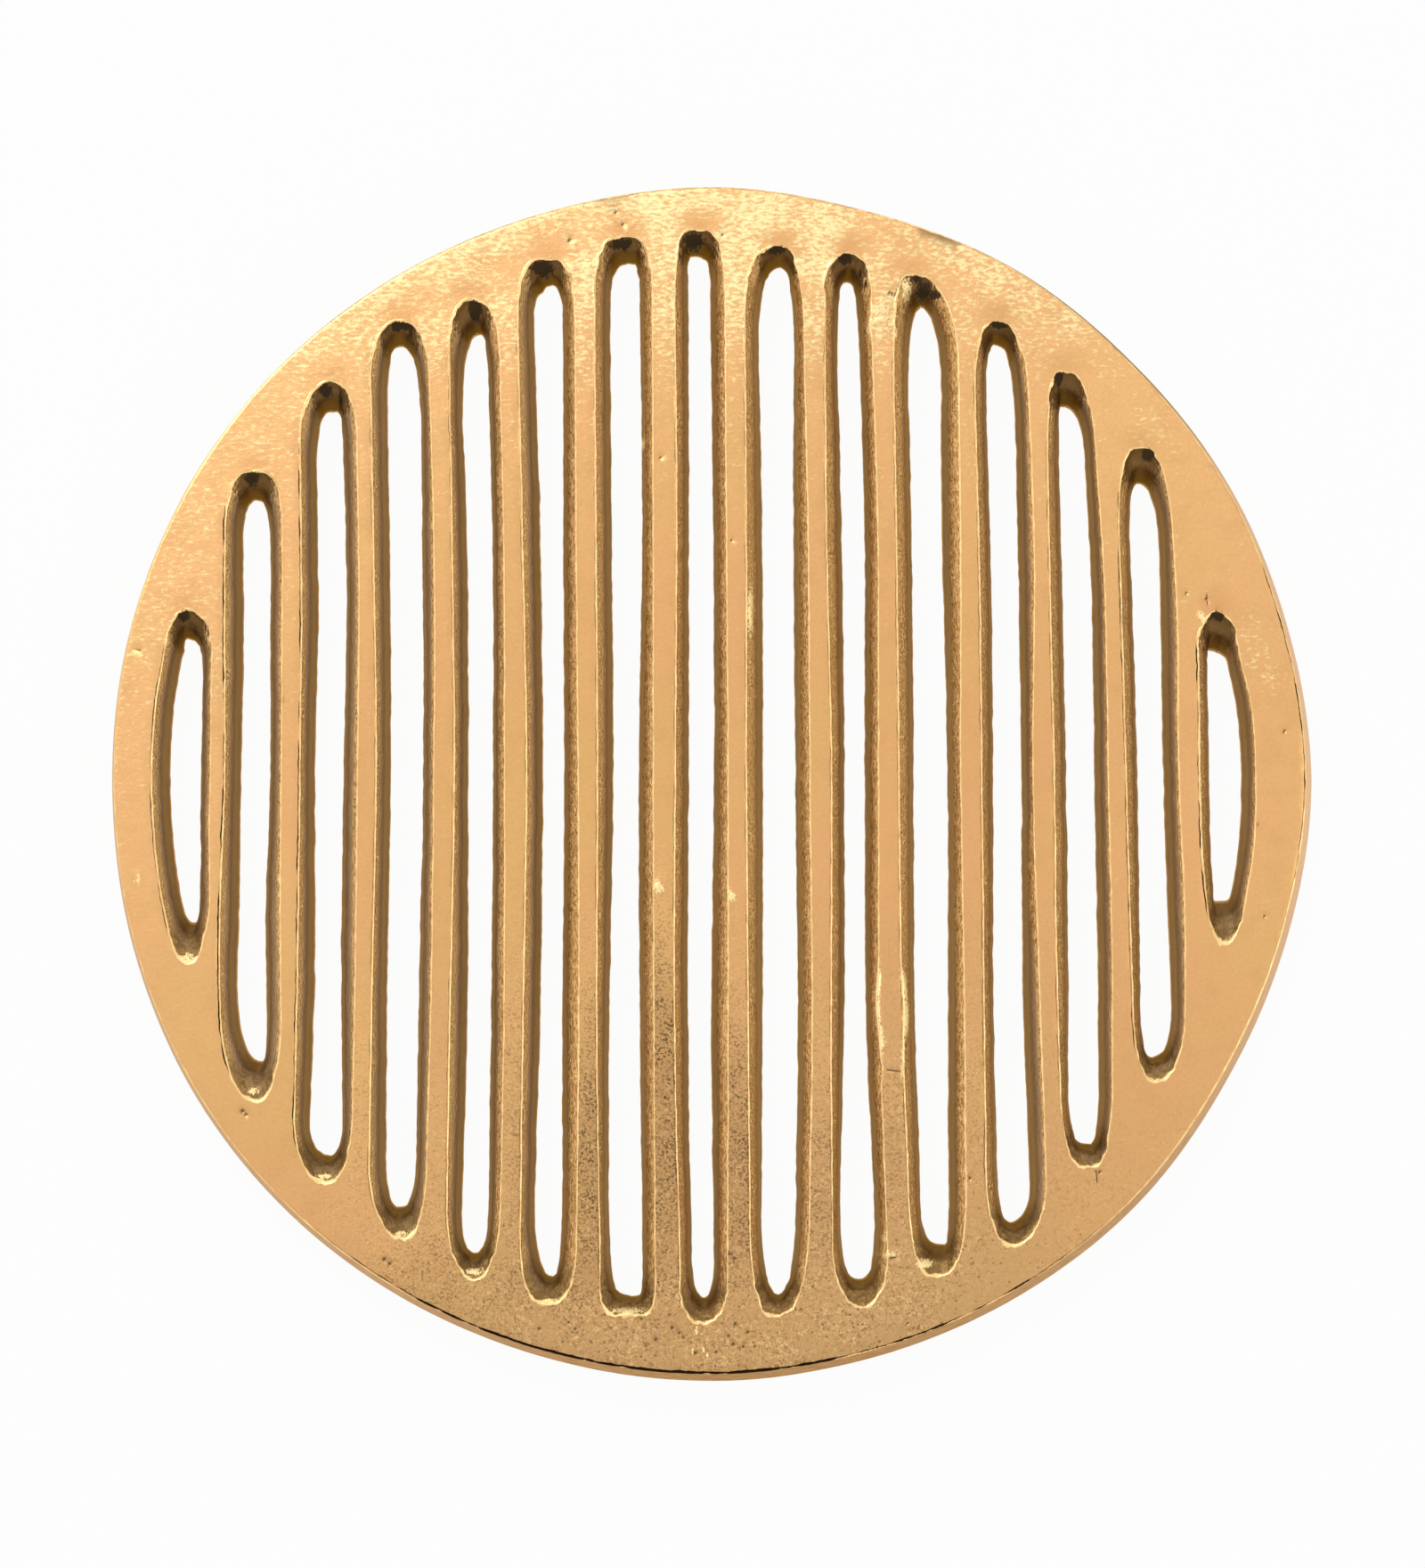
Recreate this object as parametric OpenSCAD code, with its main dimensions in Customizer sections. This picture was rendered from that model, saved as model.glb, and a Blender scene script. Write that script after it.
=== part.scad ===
// Round slotted trivet: one sand-cast plate that stands on four push-in rubber feet.
// Lengths are millimetres. The feet stand on z = 0 and +Z is up. The origin is the middle of the
// plate, on the surface that it stands on. The long slots run along Y, with the front at -Y.

/* [Plate] */
// Diameter of the plate across its lower edge
plate_d = 200; // [180:1:260]
// Thickness of the plate
plate_t = 8; // [6:0.5:12]
// How far the outer wall leans in between the lower edge and the upper one
rim_draft = 1.5; // [0.5:0.1:3]
// Radius of the rounded upper edge of the rim
rim_edge_r = 0.8; // [0.2:0.1:1.5]
// Size of the small bevel along the lower edge of the rim
base_bevel = 0.4; // [0.1:0.1:1]

/* [Slots] */
// Width of the solid rim band outside the slots, measured on the underside
band_w = 10.7; // [9:0.1:16]
// Spacing wanted between slots: the real one is the nearest that fills the plate evenly
slot_spacing = 12.4; // [11:0.1:18]
// Usual width of a slot at its narrowest, on the underside
throat_w = 4.6; // [3:0.1:6]
// How far each long wall of a slot leans back between the underside and the top
wall_draft = 2.1; // [0.5:0.1:2.6]
// How far the end walls of a slot lean back between the underside and the top
end_draft = 3; // [0.5:0.1:4]
// Depth below the top at which the sloping shoulder turns into the steep lower wall
shoulder_depth = 2.4; // [1:0.1:4]
// Sideways shift of the whole row of slots from the middle of the plate
row_shift = -1; // [-2:0.1:2]

/* [Side slots] */
// Width of the two crescent slots at the sides, on the underside
crescent_w = 5.2; // [3:0.1:7]
// Usual length of the two crescent slots, on the underside
crescent_len = 46; // [30:1:50]

/* [Feet] */
// Diameter of a foot where it meets the plate
foot_d = 9; // [6:0.5:10]
// Height of a foot below the plate
foot_h = 3; // [2:0.5:6]
// How much narrower the radius of a foot is where it stands
foot_taper = 0.4; // [0.1:0.1:1]
// Radius of the rounded lower edge of a foot
foot_edge_r = 0.6; // [0.2:0.1:1]
// Distance from the lower edge of the plate in to a foot
foot_margin = 1.2; // [0.5:0.1:3]
// Diameter of the stem of a foot
stem_d = 4; // [2.5:0.1:5]
// Length of the stem of a foot
stem_len = 4.6; // [3:0.1:5]
// Size of the bevel at the tip of the stem
stem_bevel = 0.5; // [0.1:0.1:0.8]
// Gap between the stem and the wall of its hole, and beyond the tip of the stem
stem_clearance = 0.05; // [0.02:0.01:0.3]

/* [Hidden] */

// How far a cut runs past the face that it opens
overrun = 1;
// Facets of full circles, and steps of the small rounded edges
round_facets = 180;
edge_steps = 6;
// Steps of one quarter of a slot's end, and stations along its straight part
end_steps = 5;
side_stations = 5;

plate_r = plate_d / 2;
base_z = foot_h;
top_z = base_z + plate_t;
shoulder_z = top_z - shoulder_depth;

// The circle on which the slots end, on the underside
ring_r = plate_r - band_w;
// Slots on each side of the middle one, the last of them a crescent, and their true spacing
side_count = round((ring_r - crescent_w / 2) / slot_spacing);
pitch = (ring_r - crescent_w / 2) / side_count;
foot_ring_r = plate_r - foot_margin - foot_d / 2;

// The part of the wall's lean that the shoulder takes up
shoulder_share = 0.5;
// Length of a slot's rounded end against half of its width
end_len_share = 1.15;
crescent_end_len_share = 1.8;

// The casting was made by hand, and no two slots are quite alike. Each row is one long slot, from left to right.
// Its groups are: shift sideways against the pitch at the back, middle and front; width against
// the usual one at the back, middle and front; how far the back and front ends stop short of the
// ring against the band's width; and how square those two ends are, with 0 for a round end.
slot_shares = [
    [[-0.06, -0.06, -0.08], [0.97, 1.03, 0.97], [0.00, -0.02], [0.1, -0.1]],
    [[-0.07, -0.07, -0.08], [0.97, 1.00, 1.06], [0.04, -0.02], [0.1, 0.0]],
    [[-0.07, -0.01, -0.07], [1.23, 1.20, 1.10], [0.04, 0.14], [0.1, 0.0]],
    [[-0.10, -0.04, -0.06], [0.90, 0.90, 0.90], [0.50, 0.13], [0.0, 0.1]],
    [[-0.14, -0.05, -0.11], [0.97, 0.75, 0.94], [0.20, 0.23], [0.2, 0.0]],
    [[-0.08, -0.08, -0.08], [1.10, 0.90, 1.16], [0.13, 0.19], [0.5, 0.9]],
    [[-0.08, -0.05, -0.05], [0.80, 0.95, 0.78], [0.15, 0.29], [0.5, 0.1]],
    [[-0.04, 0.00, -0.01], [1.26, 1.15, 1.26], [0.24, 0.29], [0.1, 0.0]],
    [[-0.03, 0.00, 0.03], [0.84, 0.71, 1.10], [0.20, 0.26], [0.0, -0.1]],
    [[-0.03, 0.04, 0.06], [1.20, 1.15, 1.00], [0.18, 0.34], [0.0, 0.3]],
    [[0.01, 0.06, 0.10], [1.00, 1.00, 1.10], [0.13, 0.06], [0.1, 0.0]],
    [[-0.03, 0.05, 0.07], [0.90, 1.00, 1.06], [0.14, 0.26], [0.0, 0.1]],
    [[-0.07, -0.01, 0.05], [1.06, 0.90, 1.10], [0.08, 0.24], [0.0, 0.1]],
];

// The crescents, left and right: how far the curved side moves in from the ring against the band's
// width; the reach of the back and front ends against half of the usual length; and how square
// those ends are.
crescent_shares = [
    [-0.09, [1.00, 1.05], [0.0, -0.1]],
    [0.09, [0.93, 0.90], [0.1, -0.1]],
];

function is_crescent(i) = abs(i) == side_count;
function crescent_row(i) = crescent_shares[i < 0 ? 0 : 1];
function slot_row(i) =
    let (rows = len(slot_shares), middle = floor(rows / 2))
    slot_shares[((i + middle) % rows + rows) % rows];

// A smooth curve through three values, met at the back (t = 0), the middle and the front (t = 1)
function through_three(v, t) = v[0] * (1 - t) * (1 - 2 * t) + v[1] * 4 * t * (1 - t) + v[2] * t * (2 * t - 1);

function slot_centre(i, t) = row_shift + pitch * (i + through_three(slot_row(i)[0], t));
function slot_half_w(i, t) = throat_w / 2 * through_three(slot_row(i)[1], t);

// Where a slot ends on the underside: end is 0 for the back, 1 for the front
function slot_end_y(i, end) =
    let (sign = end == 0 ? 1 : -1)
    is_crescent(i)
        ? sign * crescent_len / 2 * crescent_row(i)[1][end]
        : sign * sqrt(pow(ring_r - band_w * slot_row(i)[2][end], 2) - pow(slot_centre(i, end), 2));

// The left and right sides of a slot at y, with lean 0 on the underside and 1 at the top
function slot_sides(i, y, lean) = is_crescent(i) ? crescent_sides(i, y, lean) : long_sides(i, y, lean);

function long_sides(i, y, lean) =
    let (back = slot_end_y(i, 0), t = (back - y) / (back - slot_end_y(i, 1)),
         half = slot_half_w(i, t) + wall_draft * lean)
    [slot_centre(i, t) - half, slot_centre(i, t) + half];

function crescent_sides(i, y, lean) =
    let (outer_r = ring_r - band_w * crescent_row(i)[0],
         inner = outer_r - crescent_w - wall_draft * lean,
         outer = sqrt(pow(outer_r + wall_draft * lean, 2) - y * y))
    i < 0 ? [-outer, -inner] : [inner, outer];

// The exponent of a rounded end: 2 is a round end, more is squarer and less is more pointed
function end_power(i, end) = 2 + 4 * (is_crescent(i) ? crescent_row(i)[2][end] : slot_row(i)[3][end]);

// Stations down one side of a slot, from back to front: [y, share of the full width there]
function slot_stations(i, lean) =
    let (back = slot_end_y(i, 0) + end_draft * lean,
         front = slot_end_y(i, 1) - end_draft * lean,
         back_sides = slot_sides(i, back, lean),
         front_sides = slot_sides(i, front, lean),
         len_share = is_crescent(i) ? crescent_end_len_share : end_len_share,
         back_len = (back_sides[1] - back_sides[0]) / 2 * len_share,
         front_len = (front_sides[1] - front_sides[0]) / 2 * len_share,
         back_p = 2 / end_power(i, 0),
         front_p = 2 / end_power(i, 1),
         straight = back - back_len - front - front_len)
    concat(
        [for (k = [0 : end_steps])
            let (a = 90 * k / end_steps)
            [back - back_len * (1 - pow(cos(a), back_p)), pow(sin(a), back_p)]],
        [for (k = [1 : side_stations])
            [back - back_len - straight * k / (side_stations + 1), 1]],
        [for (k = [end_steps : -1 : 0])
            let (a = 90 * k / end_steps)
            [front + front_len * (1 - pow(cos(a), front_p)), pow(sin(a), front_p)]]
    );

// One closed outline of a slot at a height: from the back tip down the right side, up the left side
function slot_ring(i, lean, z) =
    let (stations = slot_stations(i, lean), last = len(stations) - 1)
    concat(
        [for (k = [0 : last]) side_point(i, stations[k], lean, z, 1)],
        [for (k = [last - 1 : -1 : 1]) side_point(i, stations[k], lean, z, -1)]
    );

function side_point(i, station, lean, z, sign) =
    let (sides = slot_sides(i, station[0], lean),
         middle = (sides[0] + sides[1]) / 2,
         half = (sides[1] - sides[0]) / 2)
    [middle + sign * half * station[1], station[0], z];

// Faces of a solid through a stack of rings of n points each, given from the top down
function wall_faces(n, levels) =
    [for (l = [0 : levels - 2], k = [0 : n - 1], side = [0, 1])
        let (a = l * n + k, b = l * n + (k + 1) % n)
        side == 0 ? [b, a, a + n] : [b, a + n, b + n]];

// The flat lid over one ring, as a ladder of quads between its two sides
function lid_faces(n, start, facing_up) =
    let (half = n / 2,
         ladder = concat(
             [[0, 1, n - 1]],
             [for (k = [1 : half - 2]) [k, k + 1, n - k - 1, n - k]],
             [[half - 1, half, half + 1]]))
    [for (f = ladder) let (m = len(f)) [for (k = [0 : m - 1]) start + f[facing_up ? k : m - 1 - k]]];

// The space of one slot: a wide mouth, a sloping shoulder and a steep lower wall
module slot_space(i) {
    levels = [
        [1, top_z + overrun],
        [1, top_z],
        [1 - shoulder_share, shoulder_z],
        [0, base_z],
        [0, base_z - overrun],
    ];
    rings = [for (level = levels) slot_ring(i, level[0], level[1])];
    n = len(rings[0]);
    polyhedron(
        points = [for (ring = rings, p = ring) p],
        faces = concat(
            lid_faces(n, 0, true),
            wall_faces(n, len(levels)),
            lid_faces(n, n * (len(levels) - 1), false)),
        convexity = 4
    );
}

// The plate without its slots: a leaning outer wall with a rounded upper edge
module plate_blank() {
    wall_lean = atan(rim_draft / (plate_t - base_bevel));
    edge_x = plate_r - rim_draft - rim_edge_r * (1 - sin(wall_lean)) / cos(wall_lean);
    edge_z = top_z - rim_edge_r;
    rotate_extrude($fn = round_facets)
        polygon(concat(
            [[0, base_z], [plate_r - base_bevel, base_z], [plate_r, base_z + base_bevel]],
            [for (k = [0 : edge_steps])
                let (a = wall_lean + (90 - wall_lean) * k / edge_steps)
                [edge_x + rim_edge_r * cos(a), edge_z + rim_edge_r * sin(a)]],
            [[0, top_z]]
        ));
}

// Puts its children at the place of a foot, given by its angle round the plate
module at_foot(angle) {
    rotate([0, 0, angle]) translate([foot_ring_r, 0, 0]) children();
}

module casting() {
    color("#DFAE6B")
    difference() {
        plate_blank();
        for (i = [-side_count : side_count]) slot_space(i);
        for (angle = [45 : 90 : 315])
            at_foot(angle)
                translate([0, 0, base_z - overrun])
                    cylinder(
                        h = overrun + stem_len + stem_clearance,
                        r = stem_d / 2 + stem_clearance,
                        $fn = round_facets
                    );
    }
}

// A push-in rubber foot: a low tapered head with a rounded lower edge, and a stem with a bevelled tip
module rubber_foot(angle) {
    stand_r = foot_d / 2 - foot_taper;
    color("#2B2A28")
    at_foot(angle)
        rotate_extrude($fn = round_facets)
            polygon(concat(
                [[0, 0]],
                [for (k = [0 : edge_steps])
                    let (a = 90 * k / edge_steps)
                    [stand_r - foot_edge_r * (1 - sin(a)), foot_edge_r * (1 - cos(a))]],
                [
                    [foot_d / 2, foot_h],
                    [stem_d / 2, foot_h],
                    [stem_d / 2, foot_h + stem_len - stem_bevel],
                    [stem_d / 2 - stem_bevel, foot_h + stem_len],
                    [0, foot_h + stem_len],
                ]
            ));
}

module foot_back_right() { rubber_foot(45); }
module foot_back_left() { rubber_foot(135); }
module foot_front_left() { rubber_foot(225); }
module foot_front_right() { rubber_foot(315); }

casting();
foot_back_left();
foot_back_right();
foot_front_left();
foot_front_right();
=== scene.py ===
# %% [markdown]
# # A slotted trivet, sand-cast and coated gold
#
# The object is one flat metal plate, 200 mm across, with fifteen slots that somebody cut into the
# sand mould by hand. Nothing on it is quite straight: the slots lean, swell and stop at different
# places, and every wall slopes so that the pattern could be drawn out of the sand.
# The CAD model holds the true size and the clean shape. This script dresses it: it builds a fuller
# mesh of the casting, with its wavy edges, lumps and sagging ends, and gives metal and rubber
# their surfaces. The CAD model is loaded first, because every size here is worked out from it.

# %% The frame
import math
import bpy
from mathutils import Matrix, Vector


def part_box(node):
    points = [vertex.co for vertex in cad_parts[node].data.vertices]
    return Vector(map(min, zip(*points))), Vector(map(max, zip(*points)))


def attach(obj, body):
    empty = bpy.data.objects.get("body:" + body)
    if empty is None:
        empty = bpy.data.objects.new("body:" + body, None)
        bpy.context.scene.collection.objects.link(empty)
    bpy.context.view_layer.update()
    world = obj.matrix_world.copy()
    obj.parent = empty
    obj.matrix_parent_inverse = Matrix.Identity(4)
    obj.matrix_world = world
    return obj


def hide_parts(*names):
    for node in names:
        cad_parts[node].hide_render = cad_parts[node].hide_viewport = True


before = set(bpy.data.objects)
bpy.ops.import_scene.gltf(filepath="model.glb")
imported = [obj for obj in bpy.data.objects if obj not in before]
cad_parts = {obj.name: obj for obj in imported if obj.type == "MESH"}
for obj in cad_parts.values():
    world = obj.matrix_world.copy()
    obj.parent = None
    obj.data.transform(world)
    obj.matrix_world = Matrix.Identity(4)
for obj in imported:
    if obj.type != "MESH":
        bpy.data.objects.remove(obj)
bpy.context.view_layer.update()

from types import SimpleNamespace

import bmesh
import bpy
import numpy as np
from mathutils import Vector, geometry, kdtree, noise

MM = 0.001
plate_low, plate_high = (np.array(corner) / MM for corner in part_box("casting"))
plate_r = (plate_high[0] - plate_low[0]) / 2
base_z, top_z = plate_low[2], plate_high[2]
plate_t = top_z - base_z
print(f"plate: {2 * plate_r:.1f} mm across, {plate_t:.1f} mm thick, top at {top_z:.1f} mm")

# %% [markdown]
# ## Where the slots are
#
# All lengths below are millimetres in the CAD model's frame. An even row of slots comes first, then
# a table says how each slot strays from it, as a moulder's hand would wander along a ruler.
#
# Each row has these columns:
#
# - `stray` and `width` give the middle and the width of the narrow throat on the underside, at five
#   places from the back of the slot to its front.
# - `ends` says how far the slot reaches from the middle of the plate: at the back for the throat
#   and for the mouth, then the same at the front.
# - `left_wall` and `right_wall` say how much wider the mouth on top is on each side, at the same
#   five places.
# - The tips have three numbers each, back then front: how far the tip lies off the middle, over what
#   length the slot narrows towards it, and how full it is, from 0.1 for square to 0.6 for pointed.
#
# The first and the last slot are the short crescents at the sides, whose widths swell in the middle.

# %% The table of slots
slots_each_side = 7
pitch = 12.386
row_shift = -1.0

COLUMNS = ("stray", "width", "ends", "left_wall", "right_wall", "throat_tips", "mouth_tips")
SLOT_ROWS = [
    ((1.1, 0.2, -0.1, 0.3, 1.1), (3.4, 4.7, 5.1, 4.3, 2.7), (23.4, 27.4, 24.0, 31.3),
     (2.2, 2.3, 2.4, 2.5, 2.7), (2.0, 2.1, 2.2, 2.1, 2.4),
     ((-1.0, 7, 0.34), (0.5, 6, 0.33)), ((-0.4, 7, 0.48), (0.3, 14, 0.48))),
    ((-0.9, -0.7, -0.8, -1.2, -1.1), (4.6, 4.4, 4.8, 4.4, 5.3), (46.8, 50.6, 47.1, 54.1),
     (2.3, 2.6, 2.1, 2.6, 1.9), (2.5, 2.5, 2.4, 3.0, 2.8),
     ((0.1, 8, 0.38), (1.8, 14, 0.4)), ((0.3, 10, 0.3), (1.6, 15, 0.45))),
    ((-1.2, -0.5, -0.9, -0.9, -1.1), (4.4, 4.7, 4.7, 4.3, 5.5), (61.9, 65.8, 62.7, 67.5),
     (2.2, 2.3, 2.0, 2.4, 2.0), (2.8, 2.5, 2.8, 2.8, 2.0),
     ((1.2, 11, 0.25), (0.7, 5, 0.47)), ((1.0, 9, 0.48), (0.6, 11, 0.46))),
    ((-1.2, -0.6, -0.3, -0.8, -1.0), (5.7, 5.4, 5.4, 5.2, 5.0), (72.8, 76.0, 71.3, 76.8),
     (2.3, 2.3, 2.0, 2.1, 2.4), (1.7, 2.3, 2.1, 2.4, 2.0),
     ((-0.8, 14, 0.29), (-0.3, 9, 0.39)), ((-0.3, 9, 0.48), (1.1, 13, 0.48))),
    ((-1.7, -0.6, -0.4, -0.5, -1.1), (4.5, 4.2, 4.1, 3.9, 4.4), (74.9, 79.5, 78.9, 83.4),
     (1.6, 2.2, 2.0, 2.6, 2.1), (2.2, 2.1, 2.2, 2.4, 2.2),
     ((1.3, 13, 0.42), (0.1, 7, 0.4)), ((-0.2, 9, 0.36), (0.4, 12, 0.48))),
    ((-1.7, -1.0, -0.6, -0.9, -1.4), (4.9, 3.8, 3.5, 3.7, 4.8), (83.2, 86.2, 82.6, 87.3),
     (2.5, 2.8, 2.5, 2.6, 1.9), (2.2, 2.3, 2.5, 2.9, 2.5),
     ((0.7, 5, 0.6), (0.9, 14, 0.38)), ((-0.1, 11, 0.24), (0.4, 10, 0.35))),
    ((-1.2, -0.8, -0.9, -1.1, -0.8), (4.9, 5.1, 4.2, 5.1, 5.6), (86.8, 89.9, 86.0, 89.2),
     (2.5, 2.5, 2.5, 1.9, 1.3), (2.2, 1.9, 2.5, 2.4, 2.1),
     ((1.3, 7, 0.26), (1.8, 14, 0.17)), ((0.0, 10, 0.27), (0.5, 5, 0.15))),
    ((-1.1, -0.8, -0.7, -1.0, -0.4), (3.6, 4.0, 4.2, 3.8, 3.6), (88.0, 91.2, 86.2, 90.5),
     (2.3, 2.0, 2.2, 2.2, 1.9), (2.5, 2.2, 2.3, 2.8, 2.2),
     ((-1.0, 5, 0.16), (0.3, 7, 0.41)), ((-0.2, 14, 0.22), (-0.3, 6, 0.42))),
    ((-0.6, -0.3, -0.1, 0.0, -0.4), (6.2, 5.2, 5.4, 5.8, 5.6), (86.2, 88.4, 85.6, 89.2),
     (2.2, 2.7, 2.8, 2.4, 1.8), (1.2, 2.3, 2.3, 2.3, 2.1),
     ((0.8, 14, 0.4), (0.1, 14, 0.41)), ((0.4, 12, 0.33), (-0.7, 15, 0.35))),
    ((-1.0, -0.1, 0.1, 0.1, 0.5), (3.6, 3.8, 3.3, 3.7, 6.3), (83.9, 87.3, 83.2, 87.8),
     (2.0, 2.7, 2.3, 2.3, 1.1), (1.9, 2.0, 2.1, 2.0, 1.6),
     ((0.0, 14, 0.31), (0.1, 14, 0.32)), ((0.2, 5, 0.48), (0.6, 9, 0.48))),
    ((-0.5, -0.1, 0.4, 0.4, 0.9), (5.7, 5.0, 5.6, 5.5, 4.4), (79.6, 83.8, 77.5, 82.8),
     (2.6, 2.8, 2.7, 2.4, 2.2), (2.5, 2.8, 1.9, 2.4, 2.6),
     ((-0.5, 14, 0.53), (1.3, 6, 0.3)), ((-2.6, 15, 0.42), (-0.1, 13, 0.34))),
    ((-0.2, 0.5, 0.8, 0.8, 1.7), (4.9, 4.5, 4.7, 4.9, 5.3), (73.1, 75.8, 73.7, 77.9),
     (2.2, 2.3, 2.2, 1.9, 2.3), (1.8, 2.3, 1.5, 2.4, 2.3),
     ((-1.0, 14, 0.31), (-0.8, 6, 0.49)), ((-0.9, 12, 0.42), (-0.8, 11, 0.48))),
    ((-0.7, 0.2, 0.6, 0.9, 0.8), (4.1, 4.8, 4.7, 4.8, 5.1), (62.7, 67.3, 60.9, 65.0),
     (2.3, 2.5, 2.4, 2.4, 1.5), (1.2, 1.7, 1.8, 1.9, 1.7),
     ((-1.8, 8, 0.39), (0.7, 11, 0.29)), ((-1.7, 12, 0.35), (0.2, 13, 0.35))),
    ((-1.0, -0.5, -0.1, 0.3, 0.7), (5.1, 4.6, 4.3, 4.7, 5.2), (49.6, 54.5, 46.5, 50.8),
     (2.2, 2.4, 2.4, 2.1, 1.6), (1.4, 2.2, 2.0, 2.2, 1.4),
     ((-1.1, 12, 0.39), (-0.8, 8, 0.47)), ((-1.3, 14, 0.35), (-0.8, 10, 0.48))),
    ((-1.3, -0.3, 0.0, -0.1, -0.6), (3.0, 4.8, 5.3, 4.8, 3.1), (21.6, 27.0, 20.4, 28.3),
     (2.2, 2.1, 2.2, 2.1, 2.1), (1.4, 1.7, 1.7, 1.9, 2.1),
     ((-1.5, 2, 0.6), (-1.0, 5, 0.12)), ((-0.6, 6, 0.5), (-0.4, 15, 0.48))),
]
SLOT_TABLE = [dict(zip(COLUMNS, row)) for row in SLOT_ROWS]
slots = [(i - slots_each_side, slot) for i, slot in enumerate(SLOT_TABLE)]
print(f"{len(slots)} slots, {pitch:.2f} mm apart")

# %% [markdown]
# ## The shape of one slot
#
# A slot is described by its two long sides. For any place along it, `slot_sides` gives the left and
# the right side at a chosen lean: 0 is down at the throat and 1 is up at the mouth. A little noise,
# stronger at the throat, where the sand crumbled, makes the sides wander. A numpy array holds a
# whole side at once, which is much faster in Python than a loop over points.

# %% The sides of a slot
WANDER_SIZE_MM = 5.0
WANDER_THROAT, WANDER_MOUTH = 0.11, 0.06
JAG_SIZE_MM, JAG_THROAT = 1.3, 0.07


def flow(values, t):
    """A smooth curve through evenly spaced values, for t from 0 to 1."""
    values = np.array(values, float)
    place = np.clip(np.asarray(t, float), 0, 1) * (len(values) - 1)
    i = np.clip(place.astype(int), 0, len(values) - 2)
    f = place - i
    before, after = values[np.maximum(i - 1, 0)], values[np.minimum(i + 2, len(values) - 1)]
    a, b = values[i], values[i + 1]
    return a + f * (0.5 * (b - before) + f * (before - 2.5 * a + 2 * b - 0.5 * after
                                              + f * (1.5 * (a - b) + 0.5 * (after - before))))


def noise_along(y, size_mm, seed):
    """Smooth noise from -1 to 1 along a line, one swing about every size_mm."""
    return np.array([noise.noise(Vector((v / size_mm, seed * 7.31, seed * 1.7))) for v in y])


def wander(y, lean, seed):
    coarse = noise_along(y, WANDER_SIZE_MM, seed)
    fine = noise_along(y, WANDER_SIZE_MM / 2.5, seed + 50)
    swing = (coarse + 0.8 * fine) * (WANDER_THROAT + (WANDER_MOUTH - WANDER_THROAT) * lean)
    return swing + noise_along(y, JAG_SIZE_MM, seed + 90) * JAG_THROAT * (1 - lean)


def along(slot, y):
    """Where y is along a slot: 0 at the back of its throat, 1 at the front."""
    back, front = slot["ends"][0], -slot["ends"][2]
    return (back - y) / (back - front)


def slot_sides(slot, number, y, lean):
    """The x of the left and right side of a slot at each y, before its ends close it."""
    t = along(slot, y)
    middle = row_shift + pitch * number + flow(slot["stray"], t)
    half = flow(slot["width"], t) / 2
    left = middle - half - flow(slot["left_wall"], t) * lean
    right = middle + half + flow(slot["right_wall"], t) * lean
    return left + wander(y, lean, number * 2 + 31), right + wander(y, lean, number * 2 + 32)


left, right = slot_sides(SLOT_TABLE[slots_each_side], 0, np.array([0.0]), 1)
print(f"the middle slot is {right[0] - left[0]:.1f} mm wide at its mouth")

# %% [markdown]
# ## Rings round a slot
#
# A ring is the closed outline of a slot at one height. Towards a tip the half width shrinks by a
# share that goes from 1 to 0, steeply for a full tip and slowly for a pointed one. The points of
# the curved ends are spread evenly by length, so that no corner is starved, and noise frays them,
# because the sand broke away most at the ends. All rings of a slot have the same number of points,
# so two rings join into a band of quads with no extra work.

# %% One half of a ring
SIDE_SPACING_MM = 0.7
END_POINTS = 22


def between(a, b, t):
    return a + (b - a) * t


def tip_of(slot, end, lean):
    """Tip of a slot at a lean: its y, how far it is off the middle, its run and its fullness."""
    throat_y, mouth_y = slot["ends"][2 * end:2 * end + 2]
    throat, mouth = slot["throat_tips"][end], slot["mouth_tips"][end]
    y = between(throat_y, mouth_y, lean) * (1, -1)[end]
    return (y, *(between(a, b, lean) for a, b in zip(throat, mouth)))


def quarter(run, fullness, half):
    """Insets from the tip, and shares of the half width, evenly spaced along the curved end."""
    u = np.linspace(0, 1, 400) ** 3
    share = (1 - (1 - u) ** 2) ** fullness
    length = np.concatenate([[0], np.cumsum(np.hypot(np.diff(u) * run, np.diff(share) * half))])
    even = np.linspace(0, length[-1], END_POINTS + 1)
    return np.interp(even, length, u) * run, np.interp(even, length, share)


def half_ring(slot, number, lean, side, straight_count):
    """The points down one side of a slot, from its back tip to its front tip."""
    tips = [tip_of(slot, end, lean) for end in (0, 1)]
    insets, shares, tip_x = [], [], []
    for y, offset, run, fullness in tips:
        sides = slot_sides(slot, number, np.array([y]), lean)
        middle = row_shift + pitch * number + flow(slot["stray"], along(slot, np.array([y])))[0]
        tip_x.append(middle + offset)
        inset, share = quarter(run, fullness, abs(sides[side][0] - tip_x[-1]))
        insets.append(inset)
        shares.append(share)
    back, front = tips[0][0] - insets[0], tips[1][0] + insets[1]
    straight = np.linspace(back[-1], front[-1], straight_count + 2)[1:-1]
    y = np.concatenate([back, straight, front[::-1]])
    share = np.concatenate([shares[0], np.ones(straight_count), shares[1][::-1]])
    target = between(tip_x[0], tip_x[1], np.clip(along(slot, y), 0, 1))
    target = np.where(y > back[-1], tip_x[0], np.where(y < front[-1], tip_x[1], target))
    edge = slot_sides(slot, number, y, lean)[side]
    return np.column_stack([target + (edge - target) * share, y])


# %% [markdown]
# A whole ring is the right half and the left half joined at the tips, at one height. `outset`
# moves a ring outwards, which the frayed ends and the rings of the edge both need.

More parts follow.
